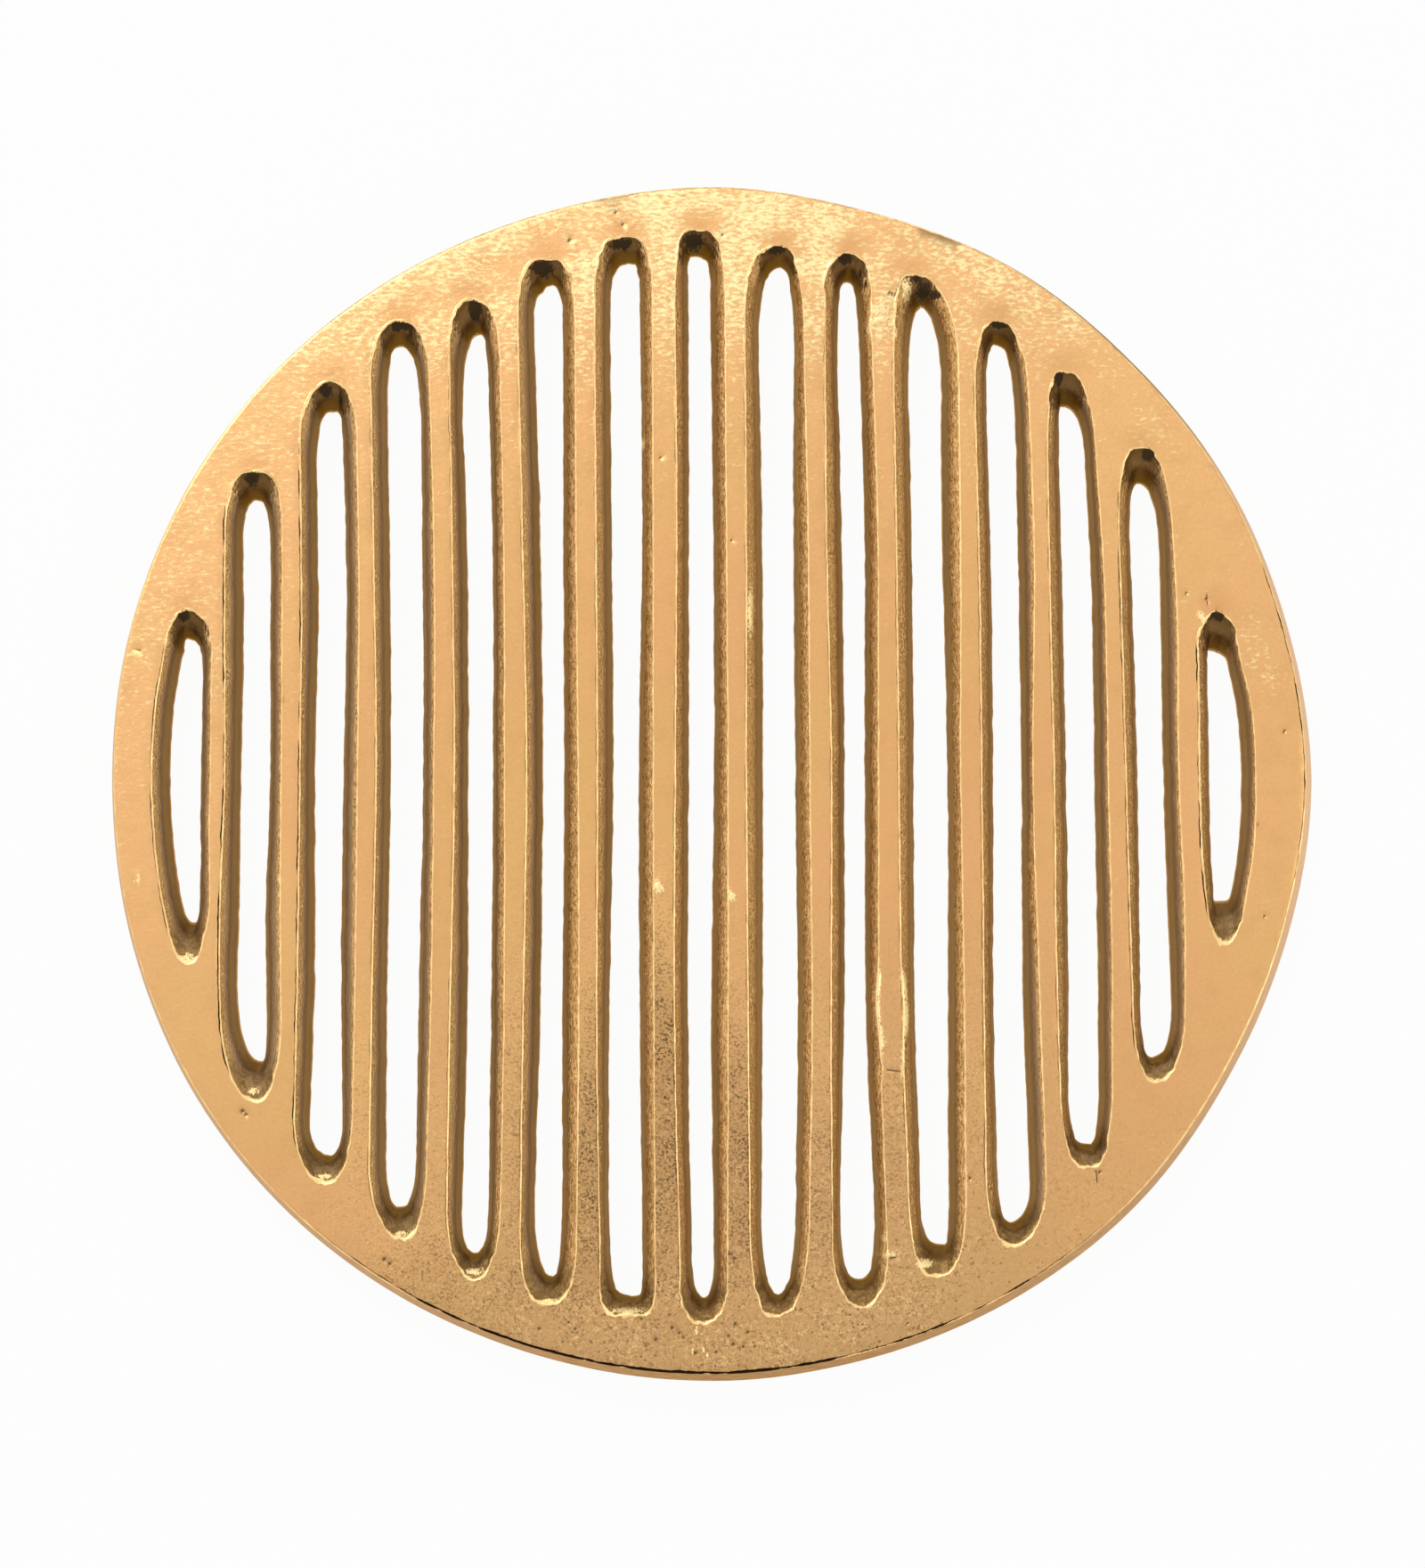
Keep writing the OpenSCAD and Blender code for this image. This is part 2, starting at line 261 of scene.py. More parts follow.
# %% Whole rings
FRAY_SIZE_MM, FRAY = 1.7, 0.34
FRAY_FROM_MM, FRAY_FULL_MM = -9.0, -3.0


def ramp(low, high, value):
    """0 below low, 1 above high and a smooth step between."""
    t = np.clip((value - low) / (high - low), 0, 1)
    return t * t * (3 - 2 * t)


def outset(ring, distance):
    """The same ring moved outwards, away from the slot."""
    step = np.roll(ring, -1, axis=0) - np.roll(ring, 1, axis=0)
    outward = np.column_stack([-step[:, 1], step[:, 0], np.zeros(len(ring))])
    return ring + outward / np.linalg.norm(outward, axis=1)[:, None] * distance


def past_tip(slot, y):
    """How far each y lies beyond the mouth's tips, in mm: below 0 between them."""
    return np.maximum(y - slot["ends"][1], -slot["ends"][3] - y)


def slot_ring(slot, number, lean, z, frayed=1.0):
    """One ring as an array of points, clockwise from the back tip as seen from above."""
    straight_count = int((slot["ends"][0] + slot["ends"][2]) / SIDE_SPACING_MM)
    down = half_ring(slot, number, lean, 1, straight_count)
    up = half_ring(slot, number, lean, 0, straight_count)[-2:0:-1]
    flat = np.vstack([down, up])
    ring = np.column_stack([flat, np.full(len(flat), z)])
    fray = [noise.noise(Vector((x / FRAY_SIZE_MM, y / FRAY_SIZE_MM, number + 0.4 * lean)))
            + 0.5 * noise.noise(Vector((x / FRAY_SIZE_MM * 2.2, y / FRAY_SIZE_MM * 2.2, number)))
            for x, y in flat]
    at_end = ramp(FRAY_FROM_MM, FRAY_FULL_MM, past_tip(slot, flat[:, 1]))
    return outset(ring, (np.array(fray) * at_end * FRAY * frayed)[:, None])


print(f"{len(slot_ring(SLOT_TABLE[slots_each_side], 0, 1, top_z))} points round the middle slot")

# %% The rings of every slot
# rings on the top round the mouth, for the edge: how far out, in mm
EDGE_RINGS_MM = [0.62, 0.42, 0.27, 0.12]
# rings of the wall: how far it has closed in (1 is the mouth, 0 the throat), and how deep
WALL_PROFILE = [(1.00, 0.06), (0.95, 0.15), (0.88, 0.29), (0.79, 0.47), (0.69, 0.69), (0.58, 0.98),
                (0.48, 1.30), (0.38, 1.75), (0.30, 2.5), (0.20, 4.4), (0.08, 6.8), (0.00, 8.0)]
profile_scale = plate_t / WALL_PROFILE[-1][1]
rings = {}
for number, slot in slots:
    rings[number] = [outset(slot_ring(slot, number, 1, top_z, 1 - out / EDGE_RINGS_MM[0]), out)
                     for out in EDGE_RINGS_MM]
    rings[number] += [slot_ring(slot, number, lean, top_z - deep * profile_scale)
                      for lean, deep in WALL_PROFILE]
print(f"{sum(len(r) * len(r[0]) for r in rings.values())} points on the walls of the slots")

# %% [markdown]
# ## Places read off the photograph
#
# Lumps, pits and cracks are listed by their place in the photograph's own pixels, because that is
# how they were found. `on_plate` turns a pixel into millimetres on the top of the plate: a scale, a
# small correction because the top lies nearer to the camera than the base, and the camera's tilt.

# %% From a pixel of the photograph to the plate
PHOTO_W, PHOTO_H = 1600, 1760
PLATE_MIDDLE_PX = (799, 880)
PLATE_WIDTH_PX = 1345
TOP_IS_NEARER = 0.9925
TILT_SHIFT_MM = 0.77


def on_plate(px, py):
    scale = 2 * plate_r / PLATE_WIDTH_PX
    return ((px - PLATE_MIDDLE_PX[0]) * scale * TOP_IS_NEARER,
            ((PLATE_MIDDLE_PX[1] - py) * scale - TILT_SHIFT_MM) * TOP_IS_NEARER)


print(f"one pixel is {on_plate(1, 0)[0] - on_plate(0, 0)[0]:.4f} mm")

# %% [markdown]
# Each lump has the two numbers of its pixel, its half sizes in mm and its height in mm. Each pit has
# its pixel and a radius, and each fine crack has two ends.

# %% Lumps, pits and cracks
LUMPS = [(988, 347, 2.0, 1.2, 0.14), (977, 371, 0.4, 0.8, 0.16), (983, 362, 0.8, 0.4, 0.18),
         (993, 359, 1.2, 0.4, 0.18), (1003, 364, 0.8, 0.4, 0.16), (1007, 374, 0.3, 0.9, 0.14),
         (1019, 324, 0.9, 2.2, 0.20), (987, 1108, 0.4, 3.2, 0.20), (988, 1140, 0.3, 2.6, 0.16),
         (989, 1172, 0.4, 3.2, 0.20), (1013, 1112, 0.6, 3.0, 0.24), (1015, 1150, 0.6, 3.6, 0.20),
         (1013, 1195, 0.4, 3.6, 0.14), (996, 1412, 2.0, 0.5, 0.24), (1036, 1422, 1.7, 0.8, 0.26),
         (991, 1394, 0.5, 1.0, 0.20), (740, 1002, 0.8, 1.3, 0.28), (822, 1012, 0.8, 1.0, 0.28),
         (843, 690, 0.6, 4.6, 0.18), (535, 1431, 1.9, 0.6, 0.28), (706, 1474, 3.0, 0.6, 0.26),
         (453, 1389, 1.3, 0.5, 0.20), (618, 1464, 1.3, 0.5, 0.20), (367, 1325, 1.4, 0.5, 0.20),
         (213, 1080, 1.0, 0.6, 0.22), (288, 1230, 1.1, 0.6, 0.20), (722, 496, 0.4, 1.2, 0.16),
         (1233, 1080, 0.4, 2.5, 0.12), (1349, 697, 0.5, 1.3, 0.26), (782, 1497, 0.20, 0.9, 0.18),
         (790, 1518, 0.18, 0.8, 0.18), (778, 1519, 0.18, 0.7, 0.16), (794, 1524, 0.18, 0.6, 0.16),
         (141, 968, 0.3, 1.3, 0.14), (151, 1004, 0.25, 1.6, 0.14), (157, 992, 0.2, 1.2, 0.12),
         (150, 1026, 0.25, 1.2, 0.12), (168, 1080, 0.6, 0.3, 0.14)]
HOLES = [(275, 1252, 0.42), (279, 1256, 0.30), (434, 1417, 0.40), (440, 1422, 0.32), (1442, 826, 0.32),
         (1411, 932, 0.26), (1418, 1034, 0.26), (155, 735, 0.28), (755, 1493, 0.30), (763, 1499, 0.24),
         (781, 1521, 0.30), (804, 1520, 0.26), (825, 1489, 0.28), (839, 1498, 0.26), (818, 1502, 0.24),
         (823, 1511, 0.30), (834, 1514, 0.24), (690, 236, 0.30), (698, 250, 0.26), (638, 268, 0.34),
         (1087, 1327, 0.30), (1017, 1488, 0.24), (737, 1506, 0.34), (1232, 1320, 0.30),
         (556, 1493, 0.30), (607, 1494, 0.28), (647, 1494, 0.28), (640, 1487, 0.24), (1000, 328, 0.34),
         (1006, 331, 0.28), (747, 1237, 0.22), (741, 516, 0.20), (816, 618, 0.24), (821, 610, 0.20),
         (1355, 676, 0.26), (1333, 670, 0.26), (811, 262, 0.22), (318, 790, 0.26), (1060, 262, 0.30),
         (1095, 500, 0.18)]
HOLE_DEPTH, CRACK_DEPTH, CRACK_MM = 0.20, 0.12, 0.11
CRACKS = [((991, 1206), (1014, 1208)), ((1015, 309), (1008, 326)), ((1356, 672), (1357, 681)),
          ((247, 1010), (246, 1100)), ((1228, 1318), (1229, 1330)), ((333, 1195), (333, 1240)),
          ((992, 1417), (1003, 1415))]


# %% [markdown]
# The plate's mesh is too coarse for such small faults, so each brings its own points: rings round a
# lump or pit, and rows along a crack.

# %% Extra points for the small faults
def rings_of_points(centre, sizes):
    """A centre and three rings of points round it, wide enough for a lump or pit of these sizes."""
    found = [centre]
    for share, count in ((0.5, 7), (1.0, 11), (1.6, 13)):
        for turn in np.linspace(0, 2 * math.pi, count, endpoint=False) + share:
            found.append((centre[0] + math.cos(turn) * share * sizes[0],
                          centre[1] + math.sin(turn) * share * sizes[1]))
    return found


def rows_of_points(start, end):
    """Three rows of points along a crack: its two banks and its bottom."""
    start, end = np.array(start), np.array(end)
    count = max(3, int(np.hypot(*(end - start)) / (3 * CRACK_MM)))
    sideways = np.array([start[1] - end[1], end[0] - start[0]]) / np.hypot(*(end - start)) * CRACK_MM
    shares = np.linspace(0, 1, count)
    return [start + (end - start) * t + sideways * k for t in shares for k in (-1.8, 0, 1.8)]


FINE_MM = 0.7
fine_points = []
for px, py, size in HOLES:
    fine_points += rings_of_points(on_plate(px, py), (size, size))
for px, py, *sizes, _ in LUMPS:
    if min(sizes) < FINE_MM:
        fine_points += rings_of_points(on_plate(px, py), sizes)
for ends in CRACKS:
    fine_points += rows_of_points(on_plate(*ends[0]), on_plate(*ends[1]))
fine_points = np.array([tuple(p) for p in fine_points])
print(f"{len(LUMPS)} lumps, {len(HOLES)} pits and {len(CRACKS)} cracks, {len(fine_points)} extra points")

# %% [markdown]
# ## The flat faces
#
# The top of the plate is what is left between the slots, an awkward shape to fill by hand. A
# constrained Delaunay triangulation fills it: it joins any set of points into well-shaped
# triangles and keeps the outlines that it is told to keep. Loose points on a hexagonal grid are
# added inside, so that the metal can ripple, and the extra points round pits and lumps make room
# for them. The triangles that fall inside a slot are dropped.
# The outline isn't a true circle either. One table says how far it strays from the radius, every
# 15 degrees from the right round by the back, and another how far the side of the rim leans.

# %% The outline of the plate
RIM_LEAN_MM = [1.6, 1.3, 0.95, 1.15]
RIM_POINTS = 760
RIM_STRAY_MM = [0.15, -0.33, -0.22, -0.44, -0.03, -0.67, -0.18, -0.52, -0.23, 0.30, 0.49, 0.45,
                0.04, 0.30, 0.74, 0.75, 0.37, 0.04, 0.00, -0.19, -0.04, 0.03, -0.71, -0.49]
rim_angle = np.linspace(0, 2 * math.pi, RIM_POINTS, endpoint=False)
rim_r = plate_r + flow(RIM_STRAY_MM + RIM_STRAY_MM[:1], rim_angle / (2 * math.pi))
rim_lean = flow(RIM_LEAN_MM + RIM_LEAN_MM[:1], rim_angle / (2 * math.pi))


def rim_ring(lean_share, inset, z):
    """The outline of the plate at one height, moved inwards by a share of the lean and an inset."""
    r = rim_r - rim_lean * lean_share - inset
    return np.column_stack([r * np.cos(rim_angle), r * np.sin(rim_angle), np.full_like(r, z)])


print(f"the outline strays {rim_r.min() - plate_r:.2f} to {rim_r.max() - plate_r:.2f} mm")

# %% [markdown]
# Filling a face needs three helpers: which points lie in a slot, a hexagonal grid, and which points
# keep their distance from others, so that no triangle gets needle-thin.

# %% Filling a face
def inside_a_slot(points, level):
    """True for each point in the open part of a slot: a ray from it crosses the ring an odd time."""
    found = np.zeros(len(points), bool)
    for number, _ in slots:
        ring = rings[number][level][:, :2]
        near = np.flatnonzero(np.all((points > ring.min(0)) & (points < ring.max(0)), axis=1))
        px, py = points[near].T
        (ax, ay), (bx, by) = ring.T[:, :, None], np.roll(ring, -1, axis=0).T[:, :, None]
        slope = (bx - ax) / np.where(by == ay, 1.0, by - ay)
        crossed = ((ay > py) != (by > py)) & (px < ax + (py - ay) * slope)
        found[near] = crossed.sum(axis=0) % 2 == 1
    return found


def hex_grid(radius, spacing):
    rows = np.arange(-radius, radius, spacing * math.sqrt(3) / 2)
    points = [(x + (k % 2) * spacing / 2, y) for k, y in enumerate(rows)
              for x in np.arange(-radius, radius, spacing)]
    points = np.array(points)
    return points[np.hypot(points[:, 0], points[:, 1]) < radius]


# how far loose points stay from an outline, as a share of their spacing, and from each other
EDGE_ROOM, EXTRA_ROOM_MM, GRID_ROOM_MM = 0.55, 0.12, 0.4


def nearest_finder(fixed):
    """A function that says which points lie further than a distance from all the fixed ones."""
    tree = kdtree.KDTree(len(fixed))
    for k, (x, y) in enumerate(fixed):
        tree.insert((x, y, 0), k)
    tree.balance()
    return lambda points, room: [tree.find((x, y, 0))[2] > room for x, y in points]


def face_between(outline, level, spacing, extra=()):
    """Fills the metal at one level: returns points (x, y) and triangles."""
    loops = [outline[:, :2]] + [rings[number][level][:, :2] for number, _ in slots]
    fixed = np.vstack(loops)
    edges, start = [], 0
    for loop in loops:
        n = len(loop)
        edges += [(start + k, start + (k + 1) % n) for k in range(n)]
        start += n
    clear_of = nearest_finder(fixed)
    grid = hex_grid(np.hypot(*outline[:, :2].T).min() - spacing / 2, spacing)
    grid = grid[~inside_a_slot(grid, level)]
    grid = grid[clear_of(grid, EDGE_ROOM * spacing)]
    if len(extra):
        extra = extra[~inside_a_slot(extra, level)]
        extra = extra[clear_of(extra, EXTRA_ROOM_MM)]
        extra = extra[np.hypot(*extra.T) < np.hypot(*outline[:, :2].T).min()]
        grid = np.vstack([grid[nearest_finder(extra)(grid, GRID_ROOM_MM)], extra])
    points = np.vstack([fixed, grid])
    result = geometry.delaunay_2d_cdt([Vector(p) for p in points], edges, [], 0, 1e-5)
    flat = np.array([tuple(v) for v in result[0]])
    triangles = np.array(result[2])
    middles = flat[triangles].mean(axis=1)
    return flat, triangles[~inside_a_slot(middles, level)]


# %% The two flat faces
TOP_SPACING_MM, UNDER_SPACING_MM = 0.85, 2.4
# rings of the rim: share of the lean, inset and depth
RIM_PROFILE = [(1.0, 0.62, 0.0), (1.0, 0.42, 0.0), (1.0, 0.27, 0.02), (1.0, 0.12, 0.08),
               (1.0, 0.02, 0.22), (0.96, 0.0, 0.5), (0.70, 0.0, 2.6), (0.40, 0.0, 5.0),
               (0.10, 0.0, 7.3), (0.0, 0.0, 7.8), (0.0, 0.35, 8.0)]
rim = [rim_ring(share, inset, top_z - deep * profile_scale) for share, inset, deep in RIM_PROFILE]
top_flat, top_triangles = face_between(rim[0], 0, TOP_SPACING_MM, fine_points)
under_flat, under_triangles = face_between(rim[-1], -1, UNDER_SPACING_MM)
print(f"top: {len(top_flat)} points, {len(top_triangles)} triangles")

# %% [markdown]
# ## One closed mesh
#
# The bands of quads and the two flat faces are put in one list and welded where their points meet,
# which gives a closed casting. Each point also gets four numbers, kept in the mesh as attributes:
# how far it is across the wall, which side and which slot it belongs to, and which ring of the
# edge it is on. The weld keeps them, and the relief and the material are worked out from them.

# %% The bands and their labels
ON_FACE, ON_RIM = -1.0, -2.0
# the rim counts as a slot with this number
RIM = 99


def band(ring_list):
    """Quads between neighbouring rings."""
    n = len(ring_list[0])
    faces = []
    for level in range(len(ring_list) - 1):
        for k in range(n):
            a, b = level * n + k, level * n + (k + 1) % n
            faces.append((a + n, b + n, b, a))
    return np.vstack(ring_list), faces


def labels(points, across, side=0, slot=0, ring=0):
    columns = [np.broadcast_to(np.asarray(v, float), len(points)) for v in (across, side, slot, ring)]
    return np.column_stack(columns)


parts = []
n = RIM_POINTS
points, faces = band(rim)
level = np.repeat(np.arange(len(rim)), n)
across = np.where(level == 0, ON_FACE, np.where(level == len(rim) - 1, 1.0, ON_RIM))
parts.append((points, faces, labels(points, across, 0, RIM, level)))
for number, slot in slots:
    points, faces = band(rings[number])
    n = len(rings[number][0])
    level = np.repeat(np.arange(len(rings[number])), n)
    leans = np.array([2.0] * len(EDGE_RINGS_MM) + [lean for lean, _ in WALL_PROFILE])
    across = np.where(level < len(EDGE_RINGS_MM), ON_FACE, 1 - leans[level])
    side = np.tile(np.where(np.arange(n) <= n // 2, 1.0, -1.0), len(rings[number]))
    parts.append((points, faces, labels(points, across, side, number, level)))
top_points = np.column_stack([top_flat, np.full(len(top_flat), top_z)])
parts.append((top_points, top_triangles.tolist(), labels(top_points, ON_FACE)))
under_points = np.column_stack([under_flat, np.full(len(under_flat), base_z)])
parts.append((under_points, under_triangles[:, ::-1].tolist(), labels(under_points, 1.0)))

print(f"{len(parts)} parts, {sum(len(part[0]) for part in parts)} points before the weld")

# %% Welding the casting
all_faces, start = [], 0
for points, faces, _ in parts:
    all_faces += [tuple(start + k for k in face) for face in faces]
    start += len(points)
all_points = np.vstack([points for points, _, _ in parts]) * MM
all_labels = np.vstack([numbers for _, _, numbers in parts])

casting_mesh = bpy.data.meshes.new("gold_casting")
casting_mesh.from_pydata(all_points.tolist(), [], all_faces)
LABELS = ("across", "side", "slot_number", "ring_number")


def store(name, values):
    layer = casting_mesh.attributes.new(name, "FLOAT", "POINT")
    layer.data.foreach_set("value", np.asarray(values, np.float32))


def recall(name):
    values = np.zeros(len(casting_mesh.vertices), np.float32)
    casting_mesh.attributes[name].data.foreach_get("value", values)
    return values


for name, column in zip(LABELS, all_labels.T):
    store(name, column)
bm = bmesh.new()
bm.from_mesh(casting_mesh)
bmesh.ops.remove_doubles(bm, verts=bm.verts, dist=2e-6)
bmesh.ops.recalc_face_normals(bm, faces=bm.faces)
open_edges = [e for e in bm.edges if len(e.link_faces) != 2]
bm.to_mesh(casting_mesh)
bm.free()
print(f"casting: {len(casting_mesh.vertices)} points, {len(open_edges)} open edges")

casting = bpy.data.objects.new("gold_casting", casting_mesh)
bpy.context.scene.collection.objects.link(casting)

# %% [markdown]
# ## Places on the finished mesh
#
# The welded mesh gives its points back as plain arrays, with the four numbers of each. `hill` turns
# a place into a strength from 0 to 1, and the masks say which points lie where.

# %% Points and masks
points = np.empty(len(casting_mesh.vertices) * 3, np.float32)
casting_mesh.vertices.foreach_get("co", points)
points = points.reshape(-1, 3).astype(float) / MM
x, y, z = points.T
across, side, slot_number, ring_number = (recall(name) for name in LABELS)


def hill(px, py, half_x, half_y):
    """A round hill of height 1 at a pixel of the photograph, with its half sizes in millimetres."""
    centre = on_plate(px, py)
    return np.exp(-((x - centre[0]) / half_x) ** 2 - ((y - centre[1]) / half_y) ** 2)


def back_tip(number, slot):
    """The x of a slot's middle at its back, how far the tip is off it, and the y of the tip."""
    tip_y, offset, _, _ = tip_of(slot, 0, 1)
    return row_shift + pitch * number + slot["stray"][0], offset, tip_y


def highest(places):
    """At each point, the strongest of the hills in a table of places and half sizes."""
    return np.max([hill(*place[:4]) for place in places], axis=0)


FLAT_MM = 0.01
underneath = z < base_z + FLAT_MM
on_top = (z > top_z - 2 * FLAT_MM) & (across < 0)
on_wall = (across >= 0) & ~underneath
on_rim = across < ON_FACE - 0.5
of_rim = slot_number == RIM
angle = np.degrees(np.arctan2(y, x)) % 360
print(f"{on_top.sum()} points on top, {on_wall.sum()} on the walls")

# %% [markdown]
# ## The relief of a casting
#
# Sand leaves its own surface on the metal. Three sizes of noise push the points out and in: long
# swells, the soft ripples of tumbled metal, which are strong only on the back of the rim, and the
# grain in the slots, which is coarser on the walls that face left. Real bumps, not painted ones,
# bend the outline and the light as the real plate does. The underside stays flat for its feet.

# %% Swells, ripples and grain
SWELL_MM, SWELL_HEIGHT = 14.0, 0.07
RIPPLE_MM, FINE_RIPPLE_MM, RIPPLE_HEIGHT = (2.6, 1.5), (1.5, 1.1), 0.045
GRAIN_MM, GRAIN_HEIGHT = 1.1, 0.055
CRUMBLE_MM, CRUMBLE_HEIGHT = 5.0, 0.055
RAGGED_MM, RAGGED_FINE_MM, RAGGED_HEIGHT = 1.5, 0.8, 0.16
# how strong the ripples are on the back, the left of the rim, the bars and in small groups
RIPPLED_BACK, RIPPLED_LEFT, RIPPLED_BARS, GLINT = 0.97, 0.5, 0.3, 0.57
# how much of them is gone in smooth places and behind the tips of the slots
CALM, CALM_AT_TIPS = 0.45, 0.7
TIP_HALO_MM = (3.0, 2.2)
# small groups of ripples with painted highlights: pixel, and half sizes in mm
GLINTS = [(1408, 722, 3.5, 6.5), (1428, 760, 2.5, 4.0), (1336, 672, 1.5, 2.5), (1290, 470, 5.0, 9.0),
          (988, 340, 3.0, 3.0), (996, 395, 1.5, 4.0)]
# places where tumbling left no ripples
SMOOTH = [(640, 262, 7.0, 3.0), (575, 300, 6.0, 4.0), (1010, 268, 6.0, 2.5), (1062, 322, 5.0, 3.5),
          (980, 246, 4.0, 2.0), (480, 330, 4.0, 3.0)]


def noise_field(size, seed, chosen):
    """Noise from about -1 to 1 at the chosen points, and 0 at the others."""
    across_and_along = size if isinstance(size, tuple) else (size, size)
    values = np.zeros(len(points))
    spots = points[chosen] / (*across_and_along, across_and_along[1]) + seed
    values[chosen] = [noise.noise(Vector(p)) for p in spots]
    return values


from_middle = np.hypot(x, y)
tips = np.zeros(len(points))
for number, slot in slots:
    middle, offset, tip_y = back_tip(number, slot)
    tip_x = middle + offset
    tips = np.maximum(tips, np.exp(-((x - tip_x) / TIP_HALO_MM[0]) ** 2
                                   - ((y - tip_y - 1.0) / TIP_HALO_MM[1]) ** 2))
# the same strength also sets where the material paints highlights on the ripples
rippled = RIPPLED_BACK * ramp(46, 89, y - 0.05 * x) * (1 - CALM_AT_TIPS * tips)
left_side = ramp(60, 92, from_middle) * ramp(-30, 30, y) * ramp(30, -10, x)
rippled = np.maximum(rippled, RIPPLED_LEFT * left_side)
rippled = np.maximum(rippled, RIPPLED_BARS * ramp(20, 70, y)) * on_top
rippled = np.maximum(rippled, GLINT * highest(GLINTS) * on_top)
for place in SMOOTH:
    rippled *= 1 - CALM * hill(*place)
swell = noise_field(SWELL_MM, 3.1, ~underneath)
ripple = noise_field(RIPPLE_MM, 11.7, on_top) + 0.5 * noise_field(FINE_RIPPLE_MM, 15.2, on_top)
grain = noise_field(GRAIN_MM, 23.9, on_wall | on_rim)
crumble = noise_field(CRUMBLE_MM, 31.3, on_wall)
coarse_side = np.where(side > 0, 1.0, 0.55)
height = SWELL_HEIGHT * swell + RIPPLE_HEIGHT * ripple * (0.08 + rippled)
height += GRAIN_HEIGHT * grain * np.where(on_rim, 0.3, coarse_side) * ramp(0.0, 0.1, np.abs(across))
height += CRUMBLE_HEIGHT * crumble * ramp(0.05, 0.3, across) * on_wall
at_end = np.zeros(len(points))
for number, slot in slots:
    mine = (slot_number == number) & (ring_number >= len(EDGE_RINGS_MM) - 1)
    at_end += mine * ramp(-5.0, -1.0, past_tip(slot, y))
ragged = noise_field(RAGGED_MM, 61.0, on_top | on_wall)
ragged += 0.6 * noise_field(RAGGED_FINE_MM, 67.0, on_top | on_wall)
height += RAGGED_HEIGHT * ragged * at_end * (1 - ramp(0.3, 0.6, across))
print(f"ripples on {np.mean(rippled > 0.3):.0%} of the points")

# %% [markdown]
# ### Edges, lumps and pits
#
# Tumbling rolled the edge of every slot into a fine bead, which the material paints with a bright
# highlight line. Behind it a seam is left open in places, where the coat didn't close: along the right
# and the front of the rim, and along the left wall of each slot; the material paints its dark line as
# shadow. The faults of the casting follow, each a hill or a hole at its own place.

# %% The bead, the open seam and the faults
BEAD_HEIGHT, SEAM_DEPTH = 0.06, 0.12
SEAM_RINGS, BEAD_RING, MOUTH_RING = (1, 2), 3, 4
SEAM_BY_ANGLE = [0.6, 0.6, 0.3, 0.2, 0.05, 0.0, 0.0, 0.0, 0.0, 0.0, 0.0, 0.0,
                 0.0, 0.0, 0.0, 0.1, 0.9, 2.0, 2.1, 1.3, 0.9, 0.1, 0.1, 0.35]
SEAM_ON_LEFT_WALLS = 0.4
SEAM_BY_SLOT = {7: 0.65, 6: 0.55, 5: 0.45, 4: 0.45, 1: 0.4, -5: 0.6, -6: 0.7, -7: 0.55}

on_slot_edge = ~of_rim & (ring_number > 0)
seam_here = np.maximum(flow(SEAM_BY_ANGLE + SEAM_BY_ANGLE[:1], angle / 360), 0) * of_rim
left_edges = (side < 0) & on_slot_edge
seam_here += SEAM_ON_LEFT_WALLS * left_edges
for number, strength in SEAM_BY_SLOT.items():
    seam_here += (strength - SEAM_ON_LEFT_WALLS) * ((slot_number == number) & left_edges)
for number, slot in slots:
    seam_here *= 1 - (slot_number == number) * ramp(-7.0, -3.0, past_tip(slot, y))
broken = noise_field(6.0, 41.0, on_top | on_rim) + 0.5 * noise_field(1.6, 47.0, on_top | on_rim)
open_seam = np.clip(seam_here + 0.6 * broken - 0.15, 0, 1) * (seam_here > 0.05)
seam = open_seam * np.isin(ring_number, SEAM_RINGS)
bead = (ring_number == BEAD_RING) + 0.5 * (ring_number == MOUTH_RING) * on_slot_edge
bead *= 1 + 0.4 * noise_field(2.2, 53.0, on_top | on_rim | on_wall)
height += BEAD_HEIGHT * bead * np.where(of_rim, 0.5, 1.0) - SEAM_DEPTH * seam

for *place, tall in LUMPS:
    height += tall * hill(*place) * (on_top | (across >= 0) & (across < 0.35))
holes = highest([(px, py, size, size) for px, py, size in HOLES])
cracks = np.zeros(len(points))
for ends in CRACKS:
    start, end = (np.array(on_plate(*place)) for place in ends)
    along_crack = np.clip(((x - start[0]) * (end - start)[0] + (y - start[1]) * (end - start)[1])
                          / np.sum((end - start) ** 2), 0, 1)
    nearest = start + along_crack[:, None] * (end - start)
    away = np.hypot(x - nearest[:, 0], y - nearest[:, 1])
    cracks = np.maximum(cracks, np.exp(-(away / CRACK_MM) ** 2))
height -= (HOLE_DEPTH * holes + CRACK_DEPTH * cracks) * on_top
height[underneath] = 0

# metal that ran over an edge: pixel, half sizes in mm, and how far it pushes the edge to the right
SPILLS = [(981, 1134, 2.2, 4.4, -0.55), (991, 1206, 1.6, 1.6, 0.35), (1016, 1136, 2.2, 4.6, 0.35),
          (973, 366, 2.0, 1.6, -0.35), (1350, 700, 1.0, 1.4, 0.35)]
push = np.zeros(len(points))
for *place, distance in SPILLS:
    push += distance * hill(*place) * (on_top | on_wall) * (1 - ramp(0.3, 0.8, across))

normals = np.empty(len(points) * 3, np.float32)
casting_mesh.vertex_normals.foreach_get("vector", normals)
moved = points + normals.reshape(-1, 3) * height[:, None]
moved[:, 0] += push
casting_mesh.vertices.foreach_set("co", (moved * MM).astype(np.float32).ravel())
casting_mesh.update()
print(f"relief from {height.min():.2f} to {height.max():.2f} mm")
